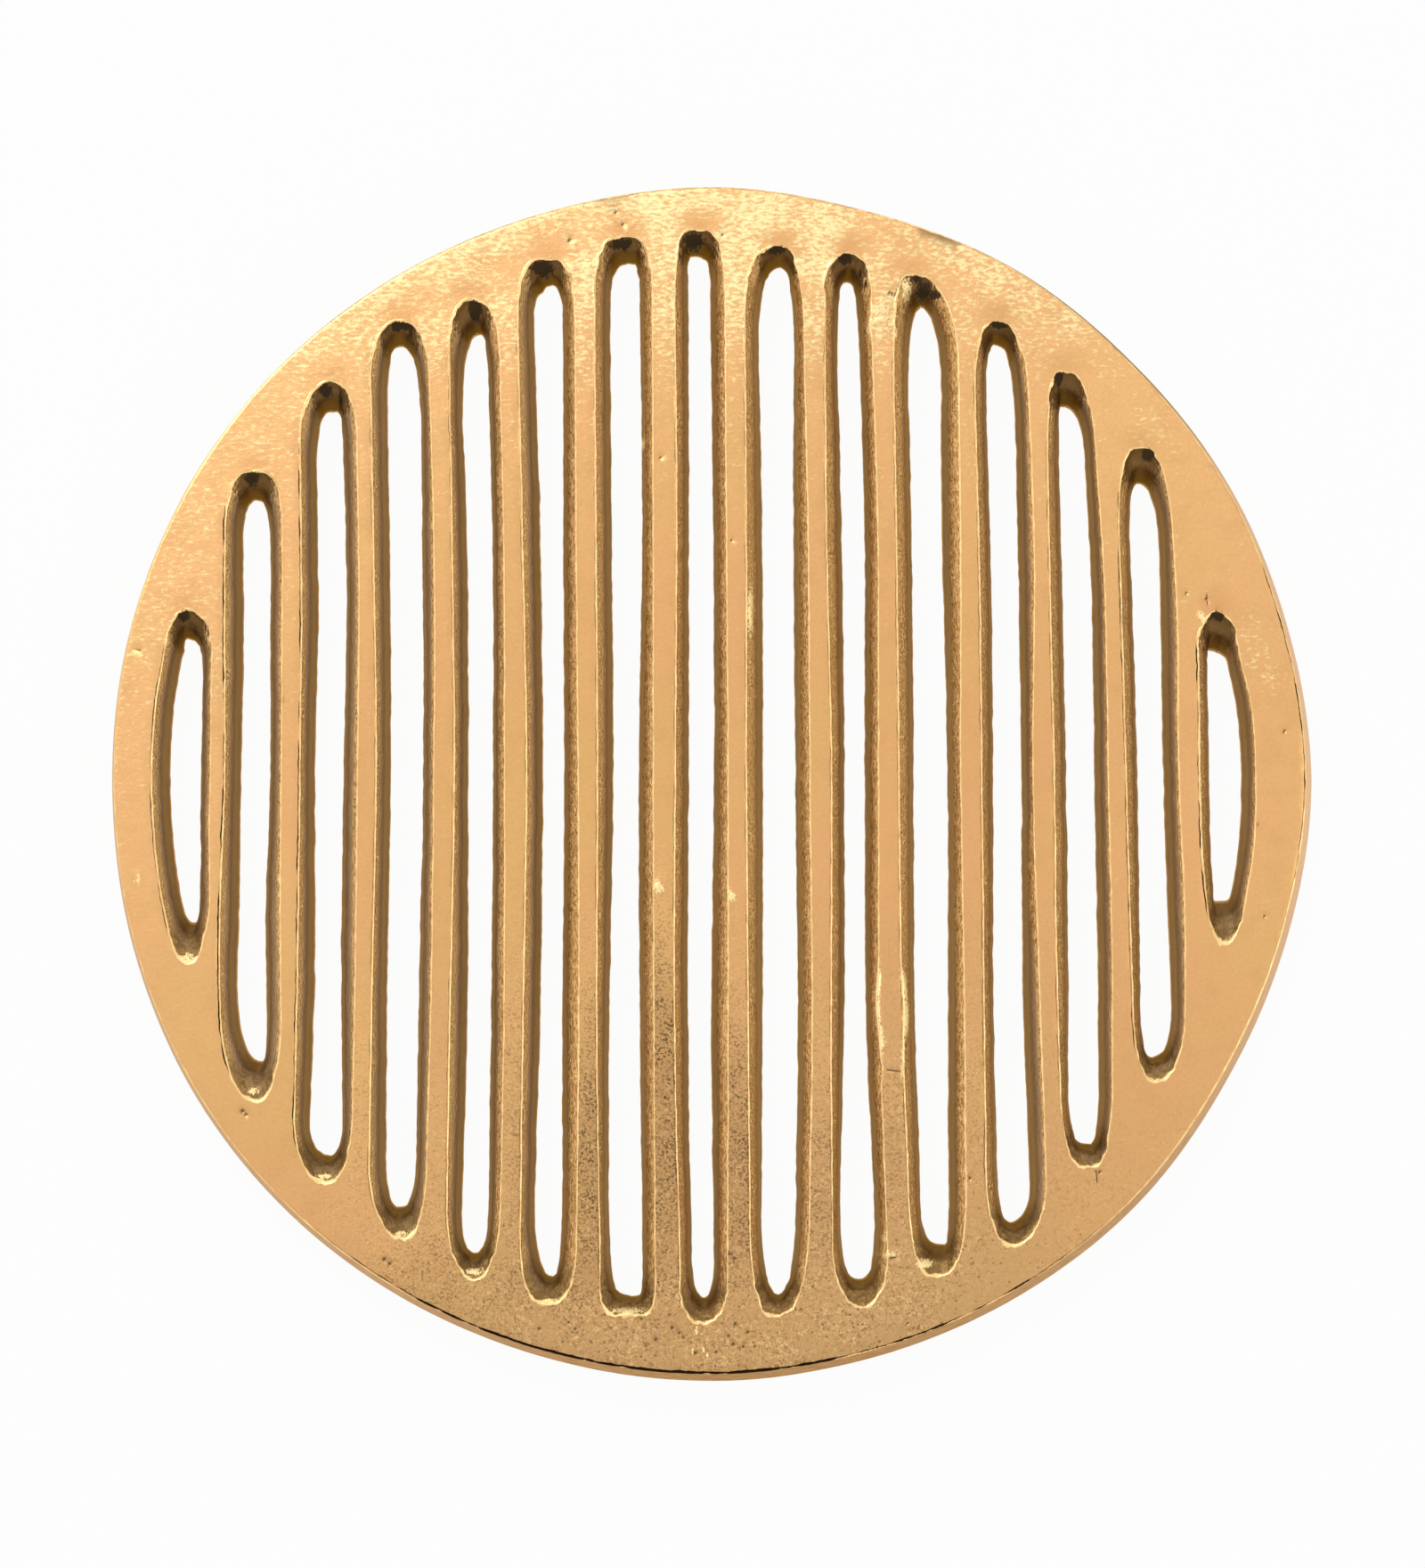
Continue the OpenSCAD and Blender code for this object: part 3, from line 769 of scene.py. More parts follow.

# %% [markdown]
# ## Zones of the surface
#
# One material covers the whole casting, but its surface isn't the same everywhere: the top was tumbled
# bright, the walls of the slots kept the grain of the sand, and some zones carry painted light and
# shade: the brown of the walls, the dark spots and brown at the back tips, the shade of the front tips,
# the lighter back and rim, and the side of the rim. Each zone is stored as a number on every point. The
# material reads it as an attribute, so it stays in place from every side and goes along when the model
# is exported.

# %% The walls of the slots
UNDERSIDE_DULLNESS_AND_SHADE = 0.45
# the steep part of a wall, painted brown as shade, starts below the shoulder, higher up on the left
# walls, and nearly at the edge in the outer slots: where, as a share of the way across the wall, and how
# wide its border is
DEEP_RIGHT, DEEP_LEFT = (0.64, 0.10), (0.30, 0.60)
low = ramp(-5, -60, y)
outer_right = np.maximum(ramp(35, 58, x), ramp(-26, -46, x)) * (1 - hill(1150, 1000, 3.0, 9.0))
outer_left = ramp(-5, -30, x)
deep_from = np.where(side > 0, DEEP_RIGHT[0] - 0.08 * low - 0.52 * outer_right,
                     DEEP_LEFT[0] - 0.14 * outer_left)
deep_by = deep_from + np.where(side > 0, DEEP_RIGHT[1] + 0.12 * outer_right,
                               DEEP_LEFT[1] - 0.30 * outer_left)
deep = ramp(deep_from, deep_by, across) * ~underneath
wall = (across >= 0) * ramp(-0.01, 0.04, across)
# the underside takes part of the walls' roughness and of their colour, which is painted shade
wall[underneath] = UNDERSIDE_DULLNESS_AND_SHADE

# how far out from a slot's mouth, or in from the rim's edge: above 0 on top, below 0 on the wall
WALL_MM, RIM_RING_MM = 2.2, 0.3
ring_outset = EDGE_RINGS_MM + [0.0]
edge_mm = np.interp(ring_number, range(len(ring_outset)), ring_outset)
edge_mm = np.where(on_wall & ~of_rim, -across * WALL_MM, edge_mm)
past_edge = ring_number - len(ring_outset) + 1
edge_mm = np.where(of_rim & (past_edge > 0), -RIM_RING_MM * past_edge, edge_mm)
edge_mm[underneath] = -WALL_MM
print(f"steep brown walls on {np.mean(deep > 0.5):.0%} of the points")

# %% [markdown]
# A near-black spot of painted dark reflection sits at the back tips, one in nearly every slot, so each
# has its own place. The walls round it have a brown of painted shade. The front tips get painted shade,
# behind a thick lip with a wide painted highlight on its edge.

# %% Painted dark reflection and painted shade at the tips
DARK_REFLECTION_ON_TOP = 0.55
# pixel, and half sizes in mm
PAINTED_DARK_REFLECTION_SPOTS = [(206, 694, 1.2, 1.4), (281, 539, 1.5, 1.4), (363, 439, 1.3, 1.4), (446, 366, 2.2, 0.9),
           (531, 347, 1.4, 1.9), (608, 299, 2.2, 1.4), (697, 272, 2.3, 1.1), (778, 267, 2.0, 1.5),
           (872, 278, 2.1, 0.9), (950, 289, 1.5, 1.1), (1031, 311, 1.0, 0.9), (1039, 324, 1.5, 1.5),
           (1052, 330, 1.2, 0.9), (1125, 364, 2.1, 0.8), (1190, 426, 1.0, 1.6), (1292, 510, 1.4, 1.6),
           (1368, 694, 1.7, 1.5), (380, 450, 0.4, 1.8), (459, 372, 0.4, 1.6), (1004, 330, 0.8, 0.5),
           (967, 305, 0.3, 0.7), (973, 317, 0.25, 0.7)]
# painted dark reflection: a near-black spot at each back tip, weaker on the top
black = highest(PAINTED_DARK_REFLECTION_SPOTS) * (on_wall | on_top) * np.where(on_wall, 1.0, DARK_REFLECTION_ON_TOP)
brown, lip, shade = np.zeros((3, len(points)))
for number, slot in slots:
    middle, offset, tip_y = back_tip(number, slot)
    here = np.exp(-((x - between(middle + offset, middle, 0.35)) / 3.3) ** 4)
    mine = (slot_number == number) & (ring_number > 0)
    # painted shade: the walls round each back tip are brown
    brown += here * ramp(-9.0, -2.5, y - tip_y) * ramp(-0.05, 0.05, across) * mine * on_wall
    front = -slot["ends"][3] - y
    lip += mine * ramp(-2.5, 0.0, front)
    shade += mine * on_wall * ramp(-9.0, -3.5, front) * ramp(0.0, 0.12, across)
brown *= 1 - 0.9 * hill(1014, 326, 1.5, 2.6)
brown, lip = np.clip(brown, 0, 1), np.clip(lip + 0.6 * left_edges * (slot_number == 7), 0, 1)
# the share of points with a painted dark reflection
print(f"residue on {np.mean(black > 0.3):.1%} of the points")

# %% [markdown]
# The top is worn and peppered with specks towards the front, where things are set down and drawn off,
# and darker there by painted shade. At the back and round the rim it is lighter by painted light, most
# on the left.

# %% Specks, wear, painted shade and painted light
# pixel, half sizes in mm, and how thick the specks lie
SPECKLED = [(740, 1200, 9, 24, 0.9), (655, 1300, 8, 26, 0.7), (824, 1300, 6, 26, 0.8),
            (575, 1260, 7, 28, 0.4), (820, 1370, 12, 16, 0.4), (740, 1340, 9, 22, 0.9),
            (660, 1430, 14, 8, 0.45), (790, 1505, 22, 6, 0.5), (910, 1430, 7, 16, 0.4),
            (480, 1360, 8, 18, 0.35), (1000, 1310, 4, 17, 0.6), (400, 1260, 7, 18, 0.35),
            (920, 1280, 6, 20, 0.45), (1085, 1250, 6, 16, 0.4), (560, 1470, 14, 8, 0.35),
            (470, 1440, 8, 6, 0.35)]
speckled = sum(thick * hill(*place) for *place, thick in SPECKLED)
speckled = np.clip(speckled, 0, 1) * on_top

# painted highlights: the lumps of spilled metal glint in bright flecks
bright = highest(LUMPS) * (on_top | on_rim | on_wall)
# wear and painted shade grow from this y towards the front, over so many mm
WEAR_AND_SHADE_FROM_MM, WEAR_AND_SHADE_OVER_MM = -18, 76
# wear, and painted shade: the top is darker towards the front
worn = np.clip((WEAR_AND_SHADE_FROM_MM - y) / WEAR_AND_SHADE_OVER_MM, 0, 1) ** 0.8
worn = worn * (1 - 0.85 * ramp(20, 85, np.abs(x - 8)))
# painted light: the top is lighter towards the back and round the rim, most on the left
PAINTED_LIGHT_BACK, PAINTED_LIGHT_RIM = 0.38, 0.55
polished = PAINTED_LIGHT_BACK * ramp(5, 85, y)
polished += PAINTED_LIGHT_RIM * ramp(50, 97, from_middle) * ramp(-80, 15, y) * (0.78 - 0.0025 * x)
print(f"speckles on {np.mean(speckled > 0.3):.1%} of the points")

# %% [markdown]
# The side of the rim was never tumbled as bright as the top. It is bare cast skin, with painted light
# and shade on it: pale on the right and darker at the back. Two dull stains reach over its edge.

# %% The side of the rim
# dull places that were left along the outline: angle, half width in degrees, how far in
STAINS = [(67.2, 2.6, 1.5), (99.8, 3.2, 0.6)]
stain = np.zeros(len(points))
for degrees, half_width, reach in STAINS:
    bow = np.clip(1 - ((angle - degrees) / half_width) ** 2, 0, 1)
    top_edge = np.interp(angle, np.degrees(rim_angle), rim_r - rim_lean, period=360)
    stain = np.maximum(stain, ramp(-0.3, 0.3, bow * reach - (top_edge - from_middle)) * (bow > 0))
stain *= (on_top | on_rim) * ramp(top_z - 1.1, top_z - 0.3, z)
# painted shade: the side of the rim is darker at the back
at_back = ramp(45, 75, y)
# the bare side of the rim starts between these rings, and higher up at the back
SKIN_RINGS = (3.5, 5.0)
higher = 1.6 * at_back
rim_wall = of_rim * ~underneath * ramp(SKIN_RINGS[0] - higher, SKIN_RINGS[1] - higher, ring_number)
# how pale the side of the rim is painted, as painted light and shade, every 45 degrees from the right
# round by the back
RIM_SIDE_PAINTED_LIGHT = [1.0, 0.6, 0.4, 0.5, 0.7, 0.45, 0.0, 0.3]
rim_pale = flow(RIM_SIDE_PAINTED_LIGHT + RIM_SIDE_PAINTED_LIGHT[:1], angle / 360)
print(f"stains on {np.sum(stain > 0.3)} points")

# %% Storing the zones
ZONES = dict(
    wall=wall, deep=deep, black=black, brown=brown, lip=lip, shade=shade,
    speckled=speckled, bright=bright, stain=stain,
    polished=np.clip(polished, 0, 1) * (on_top | on_rim), halo=tips * on_top,
    rippled=np.clip(rippled, 0, 1), seam=seam_here * ~underneath, edge_mm=edge_mm,
    holes=holes * on_top, cracks=cracks * on_top, worn=worn,
    rim_wall=rim_wall, at_back=at_back, rim_pale=np.clip(rim_pale, 0, 1),
    rim_edge=1.0 * of_rim,
    grainy=on_wall * np.where(side > 0, 1.0, 0.35))
for name, values in ZONES.items():
    store(name, values)
# shading is smooth all over, but breaks at the sharp lower edges of the slots
SHARP_DEGREES = 70
casting_mesh.polygons.foreach_set("use_smooth", [True] * len(casting_mesh.polygons))
casting_mesh.set_sharp_from_angle(angle=math.radians(SHARP_DEGREES))
print(f"{len(ZONES)} zones stored")

# %% [markdown]
# ## Building materials in code
#
# A material is a small graph. The one function below adds a node to the tree that is being built
# and fills its inputs: a number or a colour is set there, and another node's output is linked.
# Colours are written as sRGB hex, the way a picture program shows them, and are turned to the
# linear values that the shader needs. The nodes that come back most often have a short word in a
# table, which says where their values go, so that a line of code reads almost like a sum.

# %% Colours and nodes
def linear(hex_colour):
    """An sRGB hex colour as linear red, green, blue and an alpha of 1."""
    parts = [int(hex_colour[i:i + 2], 16) / 255 for i in (1, 3, 5)]
    return (*[c / 12.92 if c <= 0.04045 else ((c + 0.055) / 1.055) ** 2.4 for c in parts], 1.0)


SUMS = {"+": "ADD", "-": "SUBTRACT", "*": "MULTIPLY", "max": "MAXIMUM", "min": "MINIMUM",
        "abs": "ABSOLUTE"}
NOISE_INPUTS = ("Vector", "Scale", "Detail", "Roughness", "Distortion")
# word: the kind of node, the inputs that its values go to, its output and its settings
WORDS = {word: ("ShaderNodeMath", (0, 1), 0, {"operation": name}) for word, name in SUMS.items()}
WORDS["span"] = ("ShaderNodeMapRange", (0, 1, 2, 3, 4), 0, {})
WORDS["mix"] = ("ShaderNodeMix", (0, 6, 7), 2, {"data_type": "RGBA"})
WORDS["noise"] = ("ShaderNodeTexNoise", NOISE_INPUTS, 0, {})
WORDS["stretch"] = ("ShaderNodeVectorMath", (0, 1), 0, {"operation": "DIVIDE"})
WORDS["place"] = ("ShaderNodeTexCoord", (), "Object", {})
WORDS["zone"] = ("ShaderNodeAttribute", (), "Fac", {})


def add(word, *values, **settings):
    """Adds a node and returns its output. Without a word in the table, one dict names the inputs."""
    kind, places, output, fixed = WORDS.get(word, (word, (), 0, {}))
    made = tree.nodes.new(kind)
    for name, value in {**fixed, **settings}.items():
        setattr(made, name, value)
    inputs = dict(zip(places, values)) if places else dict(*values)
    for place, value in inputs.items():
        if isinstance(value, bpy.types.NodeSocket):
            tree.links.new(value, made.inputs[place])
        else:
            made.inputs[place].default_value = linear(value) if isinstance(value, str) else value
    return made.outputs[output] if made.outputs else None


# %% [markdown]
# Patterns are measured in millimetres on the object itself, so that a table can say "grain of half
# a millimetre" and mean it. `begin` starts a material with those coordinates and adds a noise for
# each row of such a table: its size, then its detail, roughness, distortion and stretch. A short
# row takes the usual values for the rest.

# %% Starting a material
USUAL_NOISE = (2.0, 0.5, 0.0, (1, 1, 1))


def begin(name, grains):
    """Returns the new material, its coordinates in mm and its noises by name."""
    global tree
    material = bpy.data.materials.new(name)
    material.use_nodes = True
    tree = material.node_tree
    tree.nodes.clear()
    in_mm = add("ShaderNodeVectorMath", {0: add("place"), "Scale": 1 / MM}, operation="SCALE")
    noises = SimpleNamespace()
    for grain_name, row in grains.items():
        size_mm, detail, rough, distortion, stretch = (*row, *USUAL_NOISE[len(row) - 1:])
        where = add("stretch", in_mm, stretch)
        setattr(noises, grain_name, add("noise", where, 1 / size_mm, detail, rough, distortion))
    return material, in_mm, noises


# %% [markdown]
# ## Cast aluminium with a tumbled gold coat
#
# The plate is aluminium poured into sand, tumbled until its top is smooth, and coated gold. The tumbling
# leaves a satin gloss over soft ripples, like the skin of an orange. In the slots the coat lies over the
# grain of the sand, and the brown of the walls is painted shade. It is a metal all through, so its
# colour is the colour of its reflections, with painted highlights, painted shade and painted dark
# reflections added to it.
#
# The table holds every grain of that surface: slow drifts of tone, painted highlights on the ripples,
# specks and wrinkles of wear, strokes and grains of sand on the walls, a film on the side of the rim,
# and the noises that make the fine lines along the edges waver and break.

# %% The grains of the gold coat
GOLD_GRAINS = dict(
    drift=(26.0,), cloud=(4.0, 4.0, 0.55), fine=(0.55, 2.0, 0.6),
    leaf=(0.52, 4.0, 0.6, 0.4, (2.2, 1.0, 1.0)), leaf_patch=(6.0,),
    speckle=(0.46, 1.5, 0.5, 0.5), cluster=(2.6,), wrinkle=(0.65, 3.0, 0.6, 1.2), wrinkle_patch=(7.0,),
    stroke=(0.26, 2.0, 0.6, 0.4, (1.0, 4.0, 1.5)),
    sand=(0.24, 2.0, 0.6, 0.5, (1.0, 1.8, 1.2)), sand_patch=(5.0,),
    film=(2.2, 3.0, 0.5, 0.0, (1.0, 1.0, 0.6)), ragged=(0.6, 3.0, 0.6, 0.0, (0.7, 2.0, 2.0)),
    blotch=(1.6, 4.0, 0.6, 1.0), fleck=(0.36, 3.0, 0.7, 0.6, (1.0, 1.6, 1.0)),
    polish=(2.4,), shake=(0.9, 3.0), thickness=(1.6,), waver=(2.2, 3.0), seam=(4.5, 4.0),
    skin=(1.3, 3.0, 0.55, 0.7, (1.5, 1.0, 1.0)))
gold, in_mm, grain = begin("tumbled_cast_aluminium_gold_coat", GOLD_GRAINS)
zone = SimpleNamespace(**{name: add("zone", attribute_name=name) for name in (*ZONES, "across")})
print(f"{len(GOLD_GRAINS)} grains and {len(ZONES) + 1} zones")

# %% [markdown]
# ### The tumbled top
#
# Each mark on the top is first a share from 0 to 1, made of grains and zones: pale leaves of painted
# highlight on the ripples, then wiggly grey-brown specks and round pits, which pepper the coat below the
# middle of the plate, a dull tint among them that is partly painted shade, and the wrinkles of wear at
# the front, with painted highlights and painted shade on their sides.

# %% The marks on the top
PIT_SPACING_MM, PIT_SHARE = 0.76, 0.40
# painted highlights: pale leaves of light on the ripples
painted_ripple_highlights = add("+", grain.leaf, add("span", zone.rippled, 0.0, 1.0, -0.21, 0.055))
painted_ripple_highlights = add("+", painted_ripple_highlights, add("span", grain.leaf_patch, 0.3, 0.7, -0.05, 0.04))
painted_ripple_highlights = add("*", add("span", painted_ripple_highlights, 0.45, 0.60), add("span", zone.rippled, 0.0, 1.0, 0.4, 0.9))
clusters = add("span", grain.cluster, 0.35, 0.65, 0.25, 1.0)
speckle = add("*", add("span", grain.speckle, 0.535, 0.585), clusters)
speckle = add("*", speckle, add("*", zone.speckled, add("span", zone.worn, 0.72, 0.95, 1.0, 0.4)))
cell = add("ShaderNodeTexVoronoi", {"Vector": in_mm, "Scale": 1 / PIT_SPACING_MM})
pit_size = add("span", cell.node.outputs["Color"], 0.25, 0.9, 0.0, PIT_SHARE)
pits = add("*", add("span", add("-", pit_size, cell), 0.0, 0.06), clusters)
pits = add("*", pits, add("max", zone.speckled, add("*", zone.worn, 0.8)))
# a dull tint among the specks at the front, partly painted shade
dulled_and_painted_shade = add("*", add("span", zone.speckled, 0.3, 1.0), add("span", zone.worn, 0.72, 0.95, 0.55, 0.1))
wrinkled = add("*", add("span", grain.wrinkle_patch, 0.35, 0.6, 0.25, 1.0), zone.worn)
# painted highlight and painted shade on the two sides of the wrinkles
wrinkle_painted_highlight = add("*", add("span", grain.wrinkle, 0.55, 0.63), add("*", wrinkled, 0.75))
wrinkle_painted_shade = add("*", add("span", grain.wrinkle, 0.44, 0.37), add("*", wrinkled, 0.8))
print(f"the marks took the material to {len(tree.nodes)} nodes")

# %% [markdown]
# The marks then lie over each other like coats of paint, from the bottom of the list to its top.
# A loop mixes them in: each coat covers by its share what lies below it.

# %% The colour of the top
top = add("mix", add("span", grain.drift, 0.38, 0.62), "#DFAF70", "#E2AB72")
for share, coat in [
        # painted light at the back and round the rim
        (zone.polished, "#F6C083"),
        # wear with painted shade towards the front
        (zone.worn, "#C39A68"),
        (add("span", grain.cloud, 0.5, 0.72, 0.0, 0.22), "#C9995F"),
        (add("span", grain.fine, 0.35, 0.7, 0.0, 0.18), "#B98A52"),
        # painted highlights on the ripples
        (painted_ripple_highlights, "#FFF3B4"),
        # dull tint with painted shade among the specks
        (dulled_and_painted_shade, "#A88256"),
        (add("*", speckle, 0.92), "#594B33"),
        (add("*", pits, 0.88), "#55452C"),
        # painted highlight and painted shade on the wrinkles
        (wrinkle_painted_highlight, "#E8C288"),
        (wrinkle_painted_shade, "#8E6A3E"),
        (add("*", zone.halo, 0.35), "#CB9059")]:
    top = add("mix", share, top, coat)
print(f"the top is mixed from {len(tree.nodes)} nodes")

# %% [markdown]
# ### The walls of the slots and the side of the rim
#
# The shoulders of the slots show the sand as light and dark strokes along the wall, with single bright
# and dark grains, and painted shade makes the walls that face right darker near the edge. Below them the
# wall is an even brown of painted shade, a little lighter where it steepens. The side of the rim is the
# bare cast skin with painted light and shade, pale on the right and brown at the back, with a faint
# mottled film.

# %% The colours of the walls
strokes = add("*", add("span", grain.stroke, 0.40, 0.60, -0.5, 0.5), zone.grainy)
strokes = add("+", strokes, 0.5)
near_edge = add("mix", strokes, "#B98D55", "#F6C58A")
# painted shade: near the edge, the walls that face right are darker
near_edge = add("mix", add("span", zone.grainy, 0.35, 1.0, 0.7, 0.0), near_edge, "#A27A44")
far_from_edge = add("mix", strokes, "#A88047", "#E6B878")
shoulder = add("mix", add("span", zone.across, 0.05, 0.42), near_edge, far_from_edge)
sandy = add("span", grain.sand_patch, 0.35, 0.65, 0.2, 0.9)
shoulder = add("mix", add("*", add("span", grain.sand, 0.56, 0.64), sandy), shoulder, "#FBD694")
shoulder = add("mix", add("*", add("span", grain.sand, 0.44, 0.36), sandy), shoulder, "#85642F")
# the brown of the throat is painted shade, lighter where the wall steepens
throat = add("mix", add("span", grain.cloud, 0.35, 0.65), "#856C52", "#967A5D")
throat = add("mix", add("span", zone.across, 0.68, 0.92, 0.8, 0.0), throat, "#B59770")
wall_grain_and_painted_shade = add("mix", zone.deep, shoulder, throat)

film = add("+", grain.film, add("span", grain.sand, 0.3, 0.7, -0.16, 0.16))
# painted light and shade on the side of the rim: paler on the right, darker at the back
side_of_rim = add("mix", zone.rim_pale, "#B9936E", "#FFE0C6")
for share, coat in [
        (zone.at_back, "#8A693F"),
        (add("span", film, 0.52, 0.25, 0.0, 0.30), "#86633A"),
        (add("span", film, 0.48, 0.75, 0.0, 0.28), "#F4CE9C")]:
    side_of_rim = add("mix", share, side_of_rim, coat)
print("the walls are mixed")

# %% [markdown]
# ### Painted shade at the tips, painted glints and faults
#
# At the back tips the walls have a brown of painted shade and a near-black painted dark reflection, with
# ragged borders. The front tips get painted shade. Spilled metal has painted glints in bright and dark
# flecks, and pits and cracks are dark. Again each is a share, and a loop lays them over the colour of
# the plate.

# %% The colour of the whole casting
# painted shade and a painted dark reflection at the back tips
back_tip_shade_colour = add("mix", add("span", zone.across, 0.10, 0.50), "#5A3F20", "#7A5C34")
back_tip_shade_share = add("+", zone.brown, add("span", grain.stroke, 0.35, 0.65, 0.25, -0.25))
back_tip_shade_share = add("*", add("span", back_tip_shade_share, 0.25, 0.6), add("span", zone.brown, 0.0, 0.2))
ragged_edge = add("span", grain.ragged, 0.3, 0.7, -0.27, 0.27)
painted_dark_reflection_share = add("span", add("+", zone.black, ragged_edge), 0.42, 0.62)
painted_dark_reflection_share = add("*", painted_dark_reflection_share, add("span", zone.black, 0.05, 0.3))
blotch = add("span", grain.blotch, 0.42, 0.68, 0.95, 0.45)
# painted glints on the lumps: bright flecks, with dark flecks of painted shade between them
painted_fleck_glints = add("+", zone.bright, add("span", grain.fleck, 0.3, 0.7, -0.45, 0.35))
painted_fleck_shade = add("*", add("span", grain.fleck, 0.44, 0.38), add("span", zone.bright, 0.15, 0.5))
colour = top
for share, coat in [
        # the walls' brown is painted shade
        (zone.wall, wall_grain_and_painted_shade),
        (zone.rim_wall, side_of_rim),
        (add("*", zone.stain, 0.85), "#A27C4E"),
        (add("*", back_tip_shade_share, 0.94), back_tip_shade_colour),
        (add("*", zone.shade, blotch), "#785D36"),
        (add("*", painted_dark_reflection_share, 0.94), "#302517"),
        (add("*", add("span", painted_fleck_glints, 0.36, 0.58), 0.85), "#FFE6A8"),
        (add("*", painted_fleck_shade, 0.5), "#80602F"),
        (add("*", zone.holes, 0.95), "#33251A"),
        (add("*", zone.cracks, 0.95), "#3E2C1A")]:
    colour = add("mix", share, colour, coat)
print("walls and faults are mixed in")

# %% [markdown]
# ### The painted edge highlight and the painted seam shadow
#
# Two fine lines run round every slot, drawn from the distance to its mouth. On the rolled edge a bright
# line is a painted highlight. Behind it lies the open seam, a dark line of painted shadow that wavers,
# thins out and breaks off, as its width comes from noise.

# %% Lines along the edges
EDGE_LINE_MM, EDGE_LINE_HALF_MM = 0.03, 0.13
SEAM_LINE_MM, SEAM_HALF_MM, SOFT_MM = 0.28, 0.20, 0.07
shaky = add("*", zone.lip, add("span", grain.shake, 0.3, 0.7, -0.16, 0.16))
from_line = add("abs", add("-", add("+", zone.edge_mm, shaky), EDGE_LINE_MM))
half = add("span", zone.lip, 0.0, 1.0, EDGE_LINE_HALF_MM, 2.0 * EDGE_LINE_HALF_MM)
half = add("+", half, add("*", zone.rim_edge, 0.06))
half = add("*", half, add("span", grain.thickness, 0.3, 0.7, 0.6, 1.4))
# painted highlight: a bright line along the rolled edge, wider on the lips at the front tips
painted_edge_highlight = add("span", add("-", half, from_line), 0.0, SOFT_MM)
painted_edge_highlight = add("*", painted_edge_highlight, add("span", painted_dark_reflection_share, 0.0, 1.0, 1.0, 0.0))
# the edge highlight fades where the front of the rim is worn and painted darker
worn_and_shaded_rim = add("*", zone.worn, zone.rim_edge)
painted_edge_highlight = add("*", painted_edge_highlight, add("span", worn_and_shaded_rim, 0.3, 0.6, 1.0, 0.0))
painted_edge_highlight = add("*", painted_edge_highlight, add("span", grain.polish, 0.3, 0.6, 0.55, 1.0))
waver = add("span", grain.waver, 0.3, 0.7, -0.08, 0.08)
from_seam = add("abs", add("-", add("+", zone.edge_mm, waver), SEAM_LINE_MM))
seam_half = add("*", zone.seam, add("span", grain.seam, 0.34, 0.62, 0.0, SEAM_HALF_MM))
seam_half = add("min", seam_half, 1.45 * SEAM_HALF_MM)
# painted shadow: a dark line in the groove of the open seam
painted_seam_shadow = add("span", add("-", seam_half, from_seam), -0.02, 0.05)
painted_seam_shadow = add("*", painted_seam_shadow, add("span", zone.seam, 0.05, 0.6))
for share, coat in [(painted_edge_highlight, "#FFDC9A"), (painted_seam_shadow, "#1E140A")]:
    colour = add("mix", share, colour, coat)
print("edges are drawn")

# %% [markdown]
# ### Gloss and fine bumps
#
# The tumbled top has a satin gloss, the walls are dull and the spots of painted dark reflection at the
# back tips are no metal at all. The bump carries what is too fine for the mesh, with the same grains as
# the colour, so that light and colour agree.

# %% The finished gold coat
BUMP_MM = 0.09
roughness = add("span", add("max", zone.wall, zone.speckled), 0.0, 1.0, 0.28, 0.55)
roughness = add("+", roughness, add("*", zone.rim_wall, add("span", film, 0.3, 0.7, 0.18, 0.0)))
roughness = add("+", roughness, add("*", painted_dark_reflection_share, 0.25))
# the spots of painted dark reflection are made dull and mostly not metal
metallic = add("span", painted_dark_reflection_share, 0.0, 1.0, 1.0, 0.2)
relief = add("*", grain.skin, add("span", zone.rippled, 0.0, 1.0, 0.45, 1.0))
for bump in (
        add("*", grain.fine, 0.16),
        add("*", grain.wrinkle, add("*", wrinkled, 0.8)),
        add("*", add("*", grain.stroke, 1.4), zone.wall),
        add("*", add("+", film, grain.sand), add("*", zone.rim_wall, 1.2))):
    relief = add("+", relief, bump)
relief = add("-", relief, add("*", add("max", speckle, pits), 0.8))
bumps = add("ShaderNodeBump", {"Strength": 1.0, "Distance": BUMP_MM * MM, "Height": relief})
shader = add("ShaderNodeBsdfPrincipled", {
    "Base Color": colour, "Metallic": metallic, "Roughness": roughness,
    "Specular Tint": "#E6C594", "Normal": bumps})
add("ShaderNodeOutputMaterial", {"Surface": shader})
casting_mesh.materials.append(gold)
print(f"gold coat: {len(tree.nodes)} nodes")

# %% [markdown]
# ## Moulded rubber feet
#
# The four feet are moulded black rubber, matt and a little dusty. A fine grain from the mould
# breaks up their soft shine.

# %% The rubber
RUBBER_BUMP_MM = 0.03
rubber, _, grain = begin("moulded_black_rubber", dict(dust=(2.0, 4.0), mould=(0.25, 3.0)))
bumps = add("ShaderNodeBump", {"Strength": 0.6, "Distance": RUBBER_BUMP_MM * MM, "Height": grain.mould})
colour = add("mix", add("span", grain.dust, 0.45, 0.7), "#262422", "#3B3835")
roughness = add("span", grain.dust, 0.3, 0.7, 0.55, 0.75)
shader = add("ShaderNodeBsdfPrincipled", {"Base Color": colour, "Roughness": roughness, "Normal": bumps})
add("ShaderNodeOutputMaterial", {"Surface": shader})
for name, cad_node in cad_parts.items():
    if name.startswith("foot"):
        cad_node.data.materials.clear()
        cad_node.data.materials.append(rubber)
print(f"rubber: {len(tree.nodes)} nodes")

# %% [markdown]
# The dressed casting takes the place of the CAD one. It is the only body, so it rides on the root.

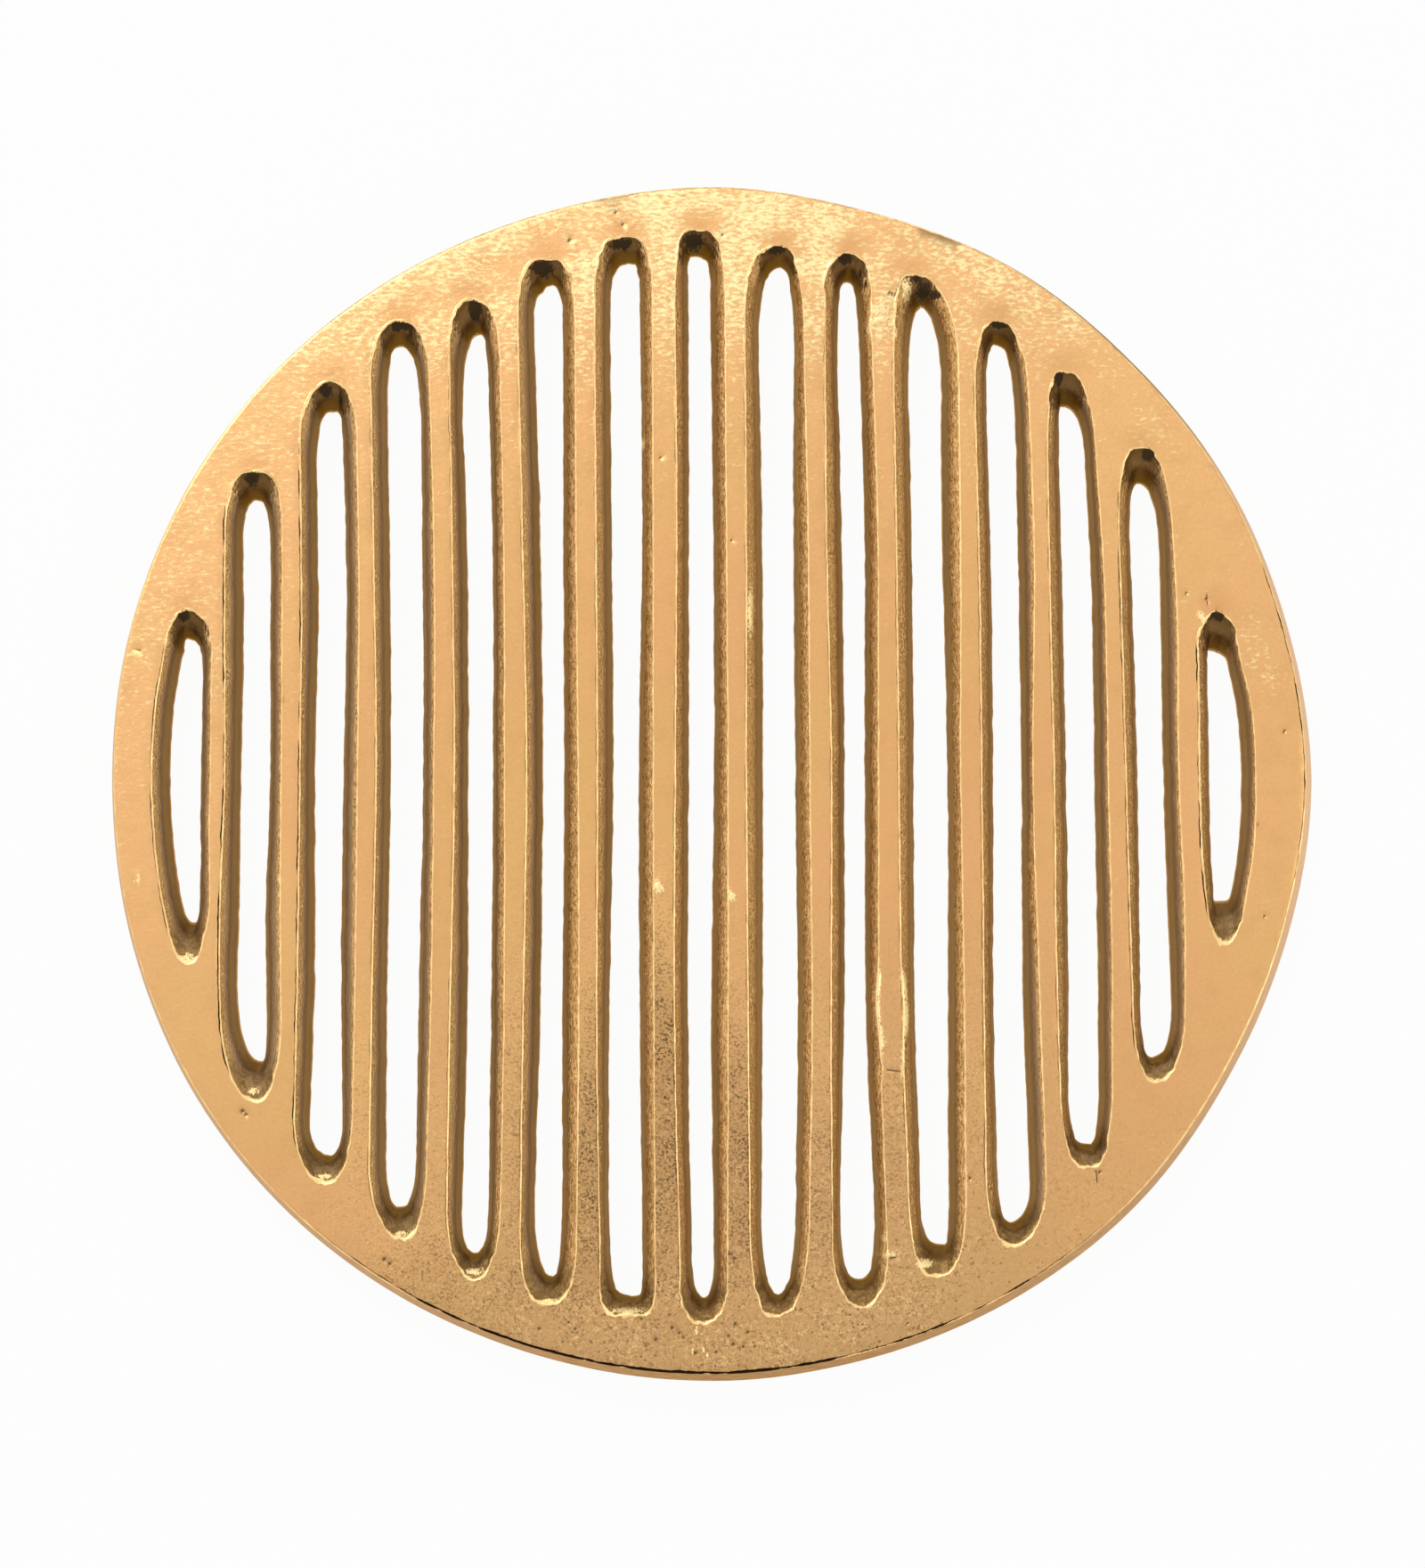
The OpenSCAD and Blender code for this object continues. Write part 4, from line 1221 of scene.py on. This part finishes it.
# %% Hand-over
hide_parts("casting")
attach(casting, "root")
print("the dressed casting is handed over")

# %% [markdown]
# ## Floor, light and background
#
# The floor is plain white. What the camera and mirror-like rays see of it is mostly its own flat
# white, so that it looks like the white of a studio cut-out, with a faint shadow left in it.

# %% The floor and the world
FLOOR_HALF = 2.0
SHADOW_SHARE = 0.05
ROOM_LIGHT = 0.55

floor_mesh = bpy.data.meshes.new("floor")
floor_mesh.from_pydata([(-FLOOR_HALF, -FLOOR_HALF, 0), (FLOOR_HALF, -FLOOR_HALF, 0),
                        (FLOOR_HALF, FLOOR_HALF, 0), (-FLOOR_HALF, FLOOR_HALF, 0)],
                       [], [(0, 1, 2, 3)])
floor = bpy.data.objects.new("floor", floor_mesh)
bpy.context.scene.collection.objects.link(floor)


def seen_directly():
    """1 for rays from the camera, from a gloss or through glass, else 0."""
    rays = add("ShaderNodeLightPath").node.outputs
    gloss = add("max", rays["Is Glossy Ray"], rays["Is Transmission Ray"])
    return add("max", rays["Is Camera Ray"], gloss)


paper, _, _ = begin("white_paper_floor", {})
seen = add("*", seen_directly(), 1 - SHADOW_SHARE)
diffuse = add("ShaderNodeBsdfDiffuse", {"Color": "#F4F3F0"})
white = add("ShaderNodeEmission", {"Color": (1, 1, 1, 1)})
add("ShaderNodeOutputMaterial", {"Surface": add("ShaderNodeMixShader", {0: seen, 1: diffuse, 2: white})})
floor_mesh.materials.append(paper)

world = bpy.data.worlds.new("studio")
world.use_nodes = True
tree = world.node_tree
tree.nodes.clear()
strength = add("span", seen_directly(), 0.0, 1.0, ROOM_LIGHT, 1.0)
sky = add("ShaderNodeBackground", {"Color": (1, 1, 1, 1), "Strength": strength})
add("ShaderNodeOutputWorld", {"Surface": sky})
bpy.context.scene.world = world
print(f"floor {2 * FLOOR_HALF:.0f} m wide, room light {ROOM_LIGHT}")

# %% [markdown]
# Two soft lamps stand in for the room's light: the stronger one behind the plate to the left, which
# leaves the front walls of the slots in shade, and a weak one to the right.

# %% The lamps
def soft_box(name, place, size, power):
    """A round lamp, wide and soft, that looks at the middle of the plate."""
    lamp = bpy.data.lights.new(name, "AREA")
    lamp.shape, lamp.size, lamp.energy = "DISK", size, power
    holder = bpy.data.objects.new(name, lamp)
    holder.location = place
    holder.rotation_euler = (-Vector(place)).to_track_quat("-Z", "Y").to_euler()
    bpy.context.scene.collection.objects.link(holder)


soft_box("key", (-0.50, 0.75, 1.1), 0.7, 5.0)
soft_box("fill", (1.1, -0.2, 1.0), 0.8, 2.0)
print(f"{len(bpy.data.lights)} lamps")

# %% [markdown]
# The camera stands a metre away and looks down at 85 degrees. Its lens follows from the width that
# the plate has in the photograph, and the aim allows for the front half, which is a little nearer.

# %% The camera
CAMERA_DISTANCE = 1.0
CAMERA_ELEVATION = math.radians(85)
LONG_SENSOR_MM = 36.0
CAMERA_SIDE_MM = 0.15

seen_height = PHOTO_H * 2 * plate_r * MM / PLATE_WIDTH_PX
camera_data = bpy.data.cameras.new("camera")
camera_data.sensor_width = LONG_SENSOR_MM
camera_data.lens = LONG_SENSOR_MM * CAMERA_DISTANCE / seen_height
camera = bpy.data.objects.new("camera", camera_data)
bpy.context.scene.collection.objects.link(camera)
bpy.context.scene.camera = camera
away = Vector((0, -math.cos(CAMERA_ELEVATION), math.sin(CAMERA_ELEVATION)))
nearer_half_grows = plate_r * MM * math.cos(CAMERA_ELEVATION) * plate_r * MM / CAMERA_DISTANCE
aim = Vector((CAMERA_SIDE_MM * MM, -nearer_half_grows, base_z * MM))
camera.location = aim + away * CAMERA_DISTANCE
camera.rotation_euler = (math.pi / 2 - CAMERA_ELEVATION, 0, 0)
bpy.context.scene.view_settings.view_transform = "Standard"
print(f"lens {camera_data.lens:.1f} mm at {CAMERA_DISTANCE:.2f} m")
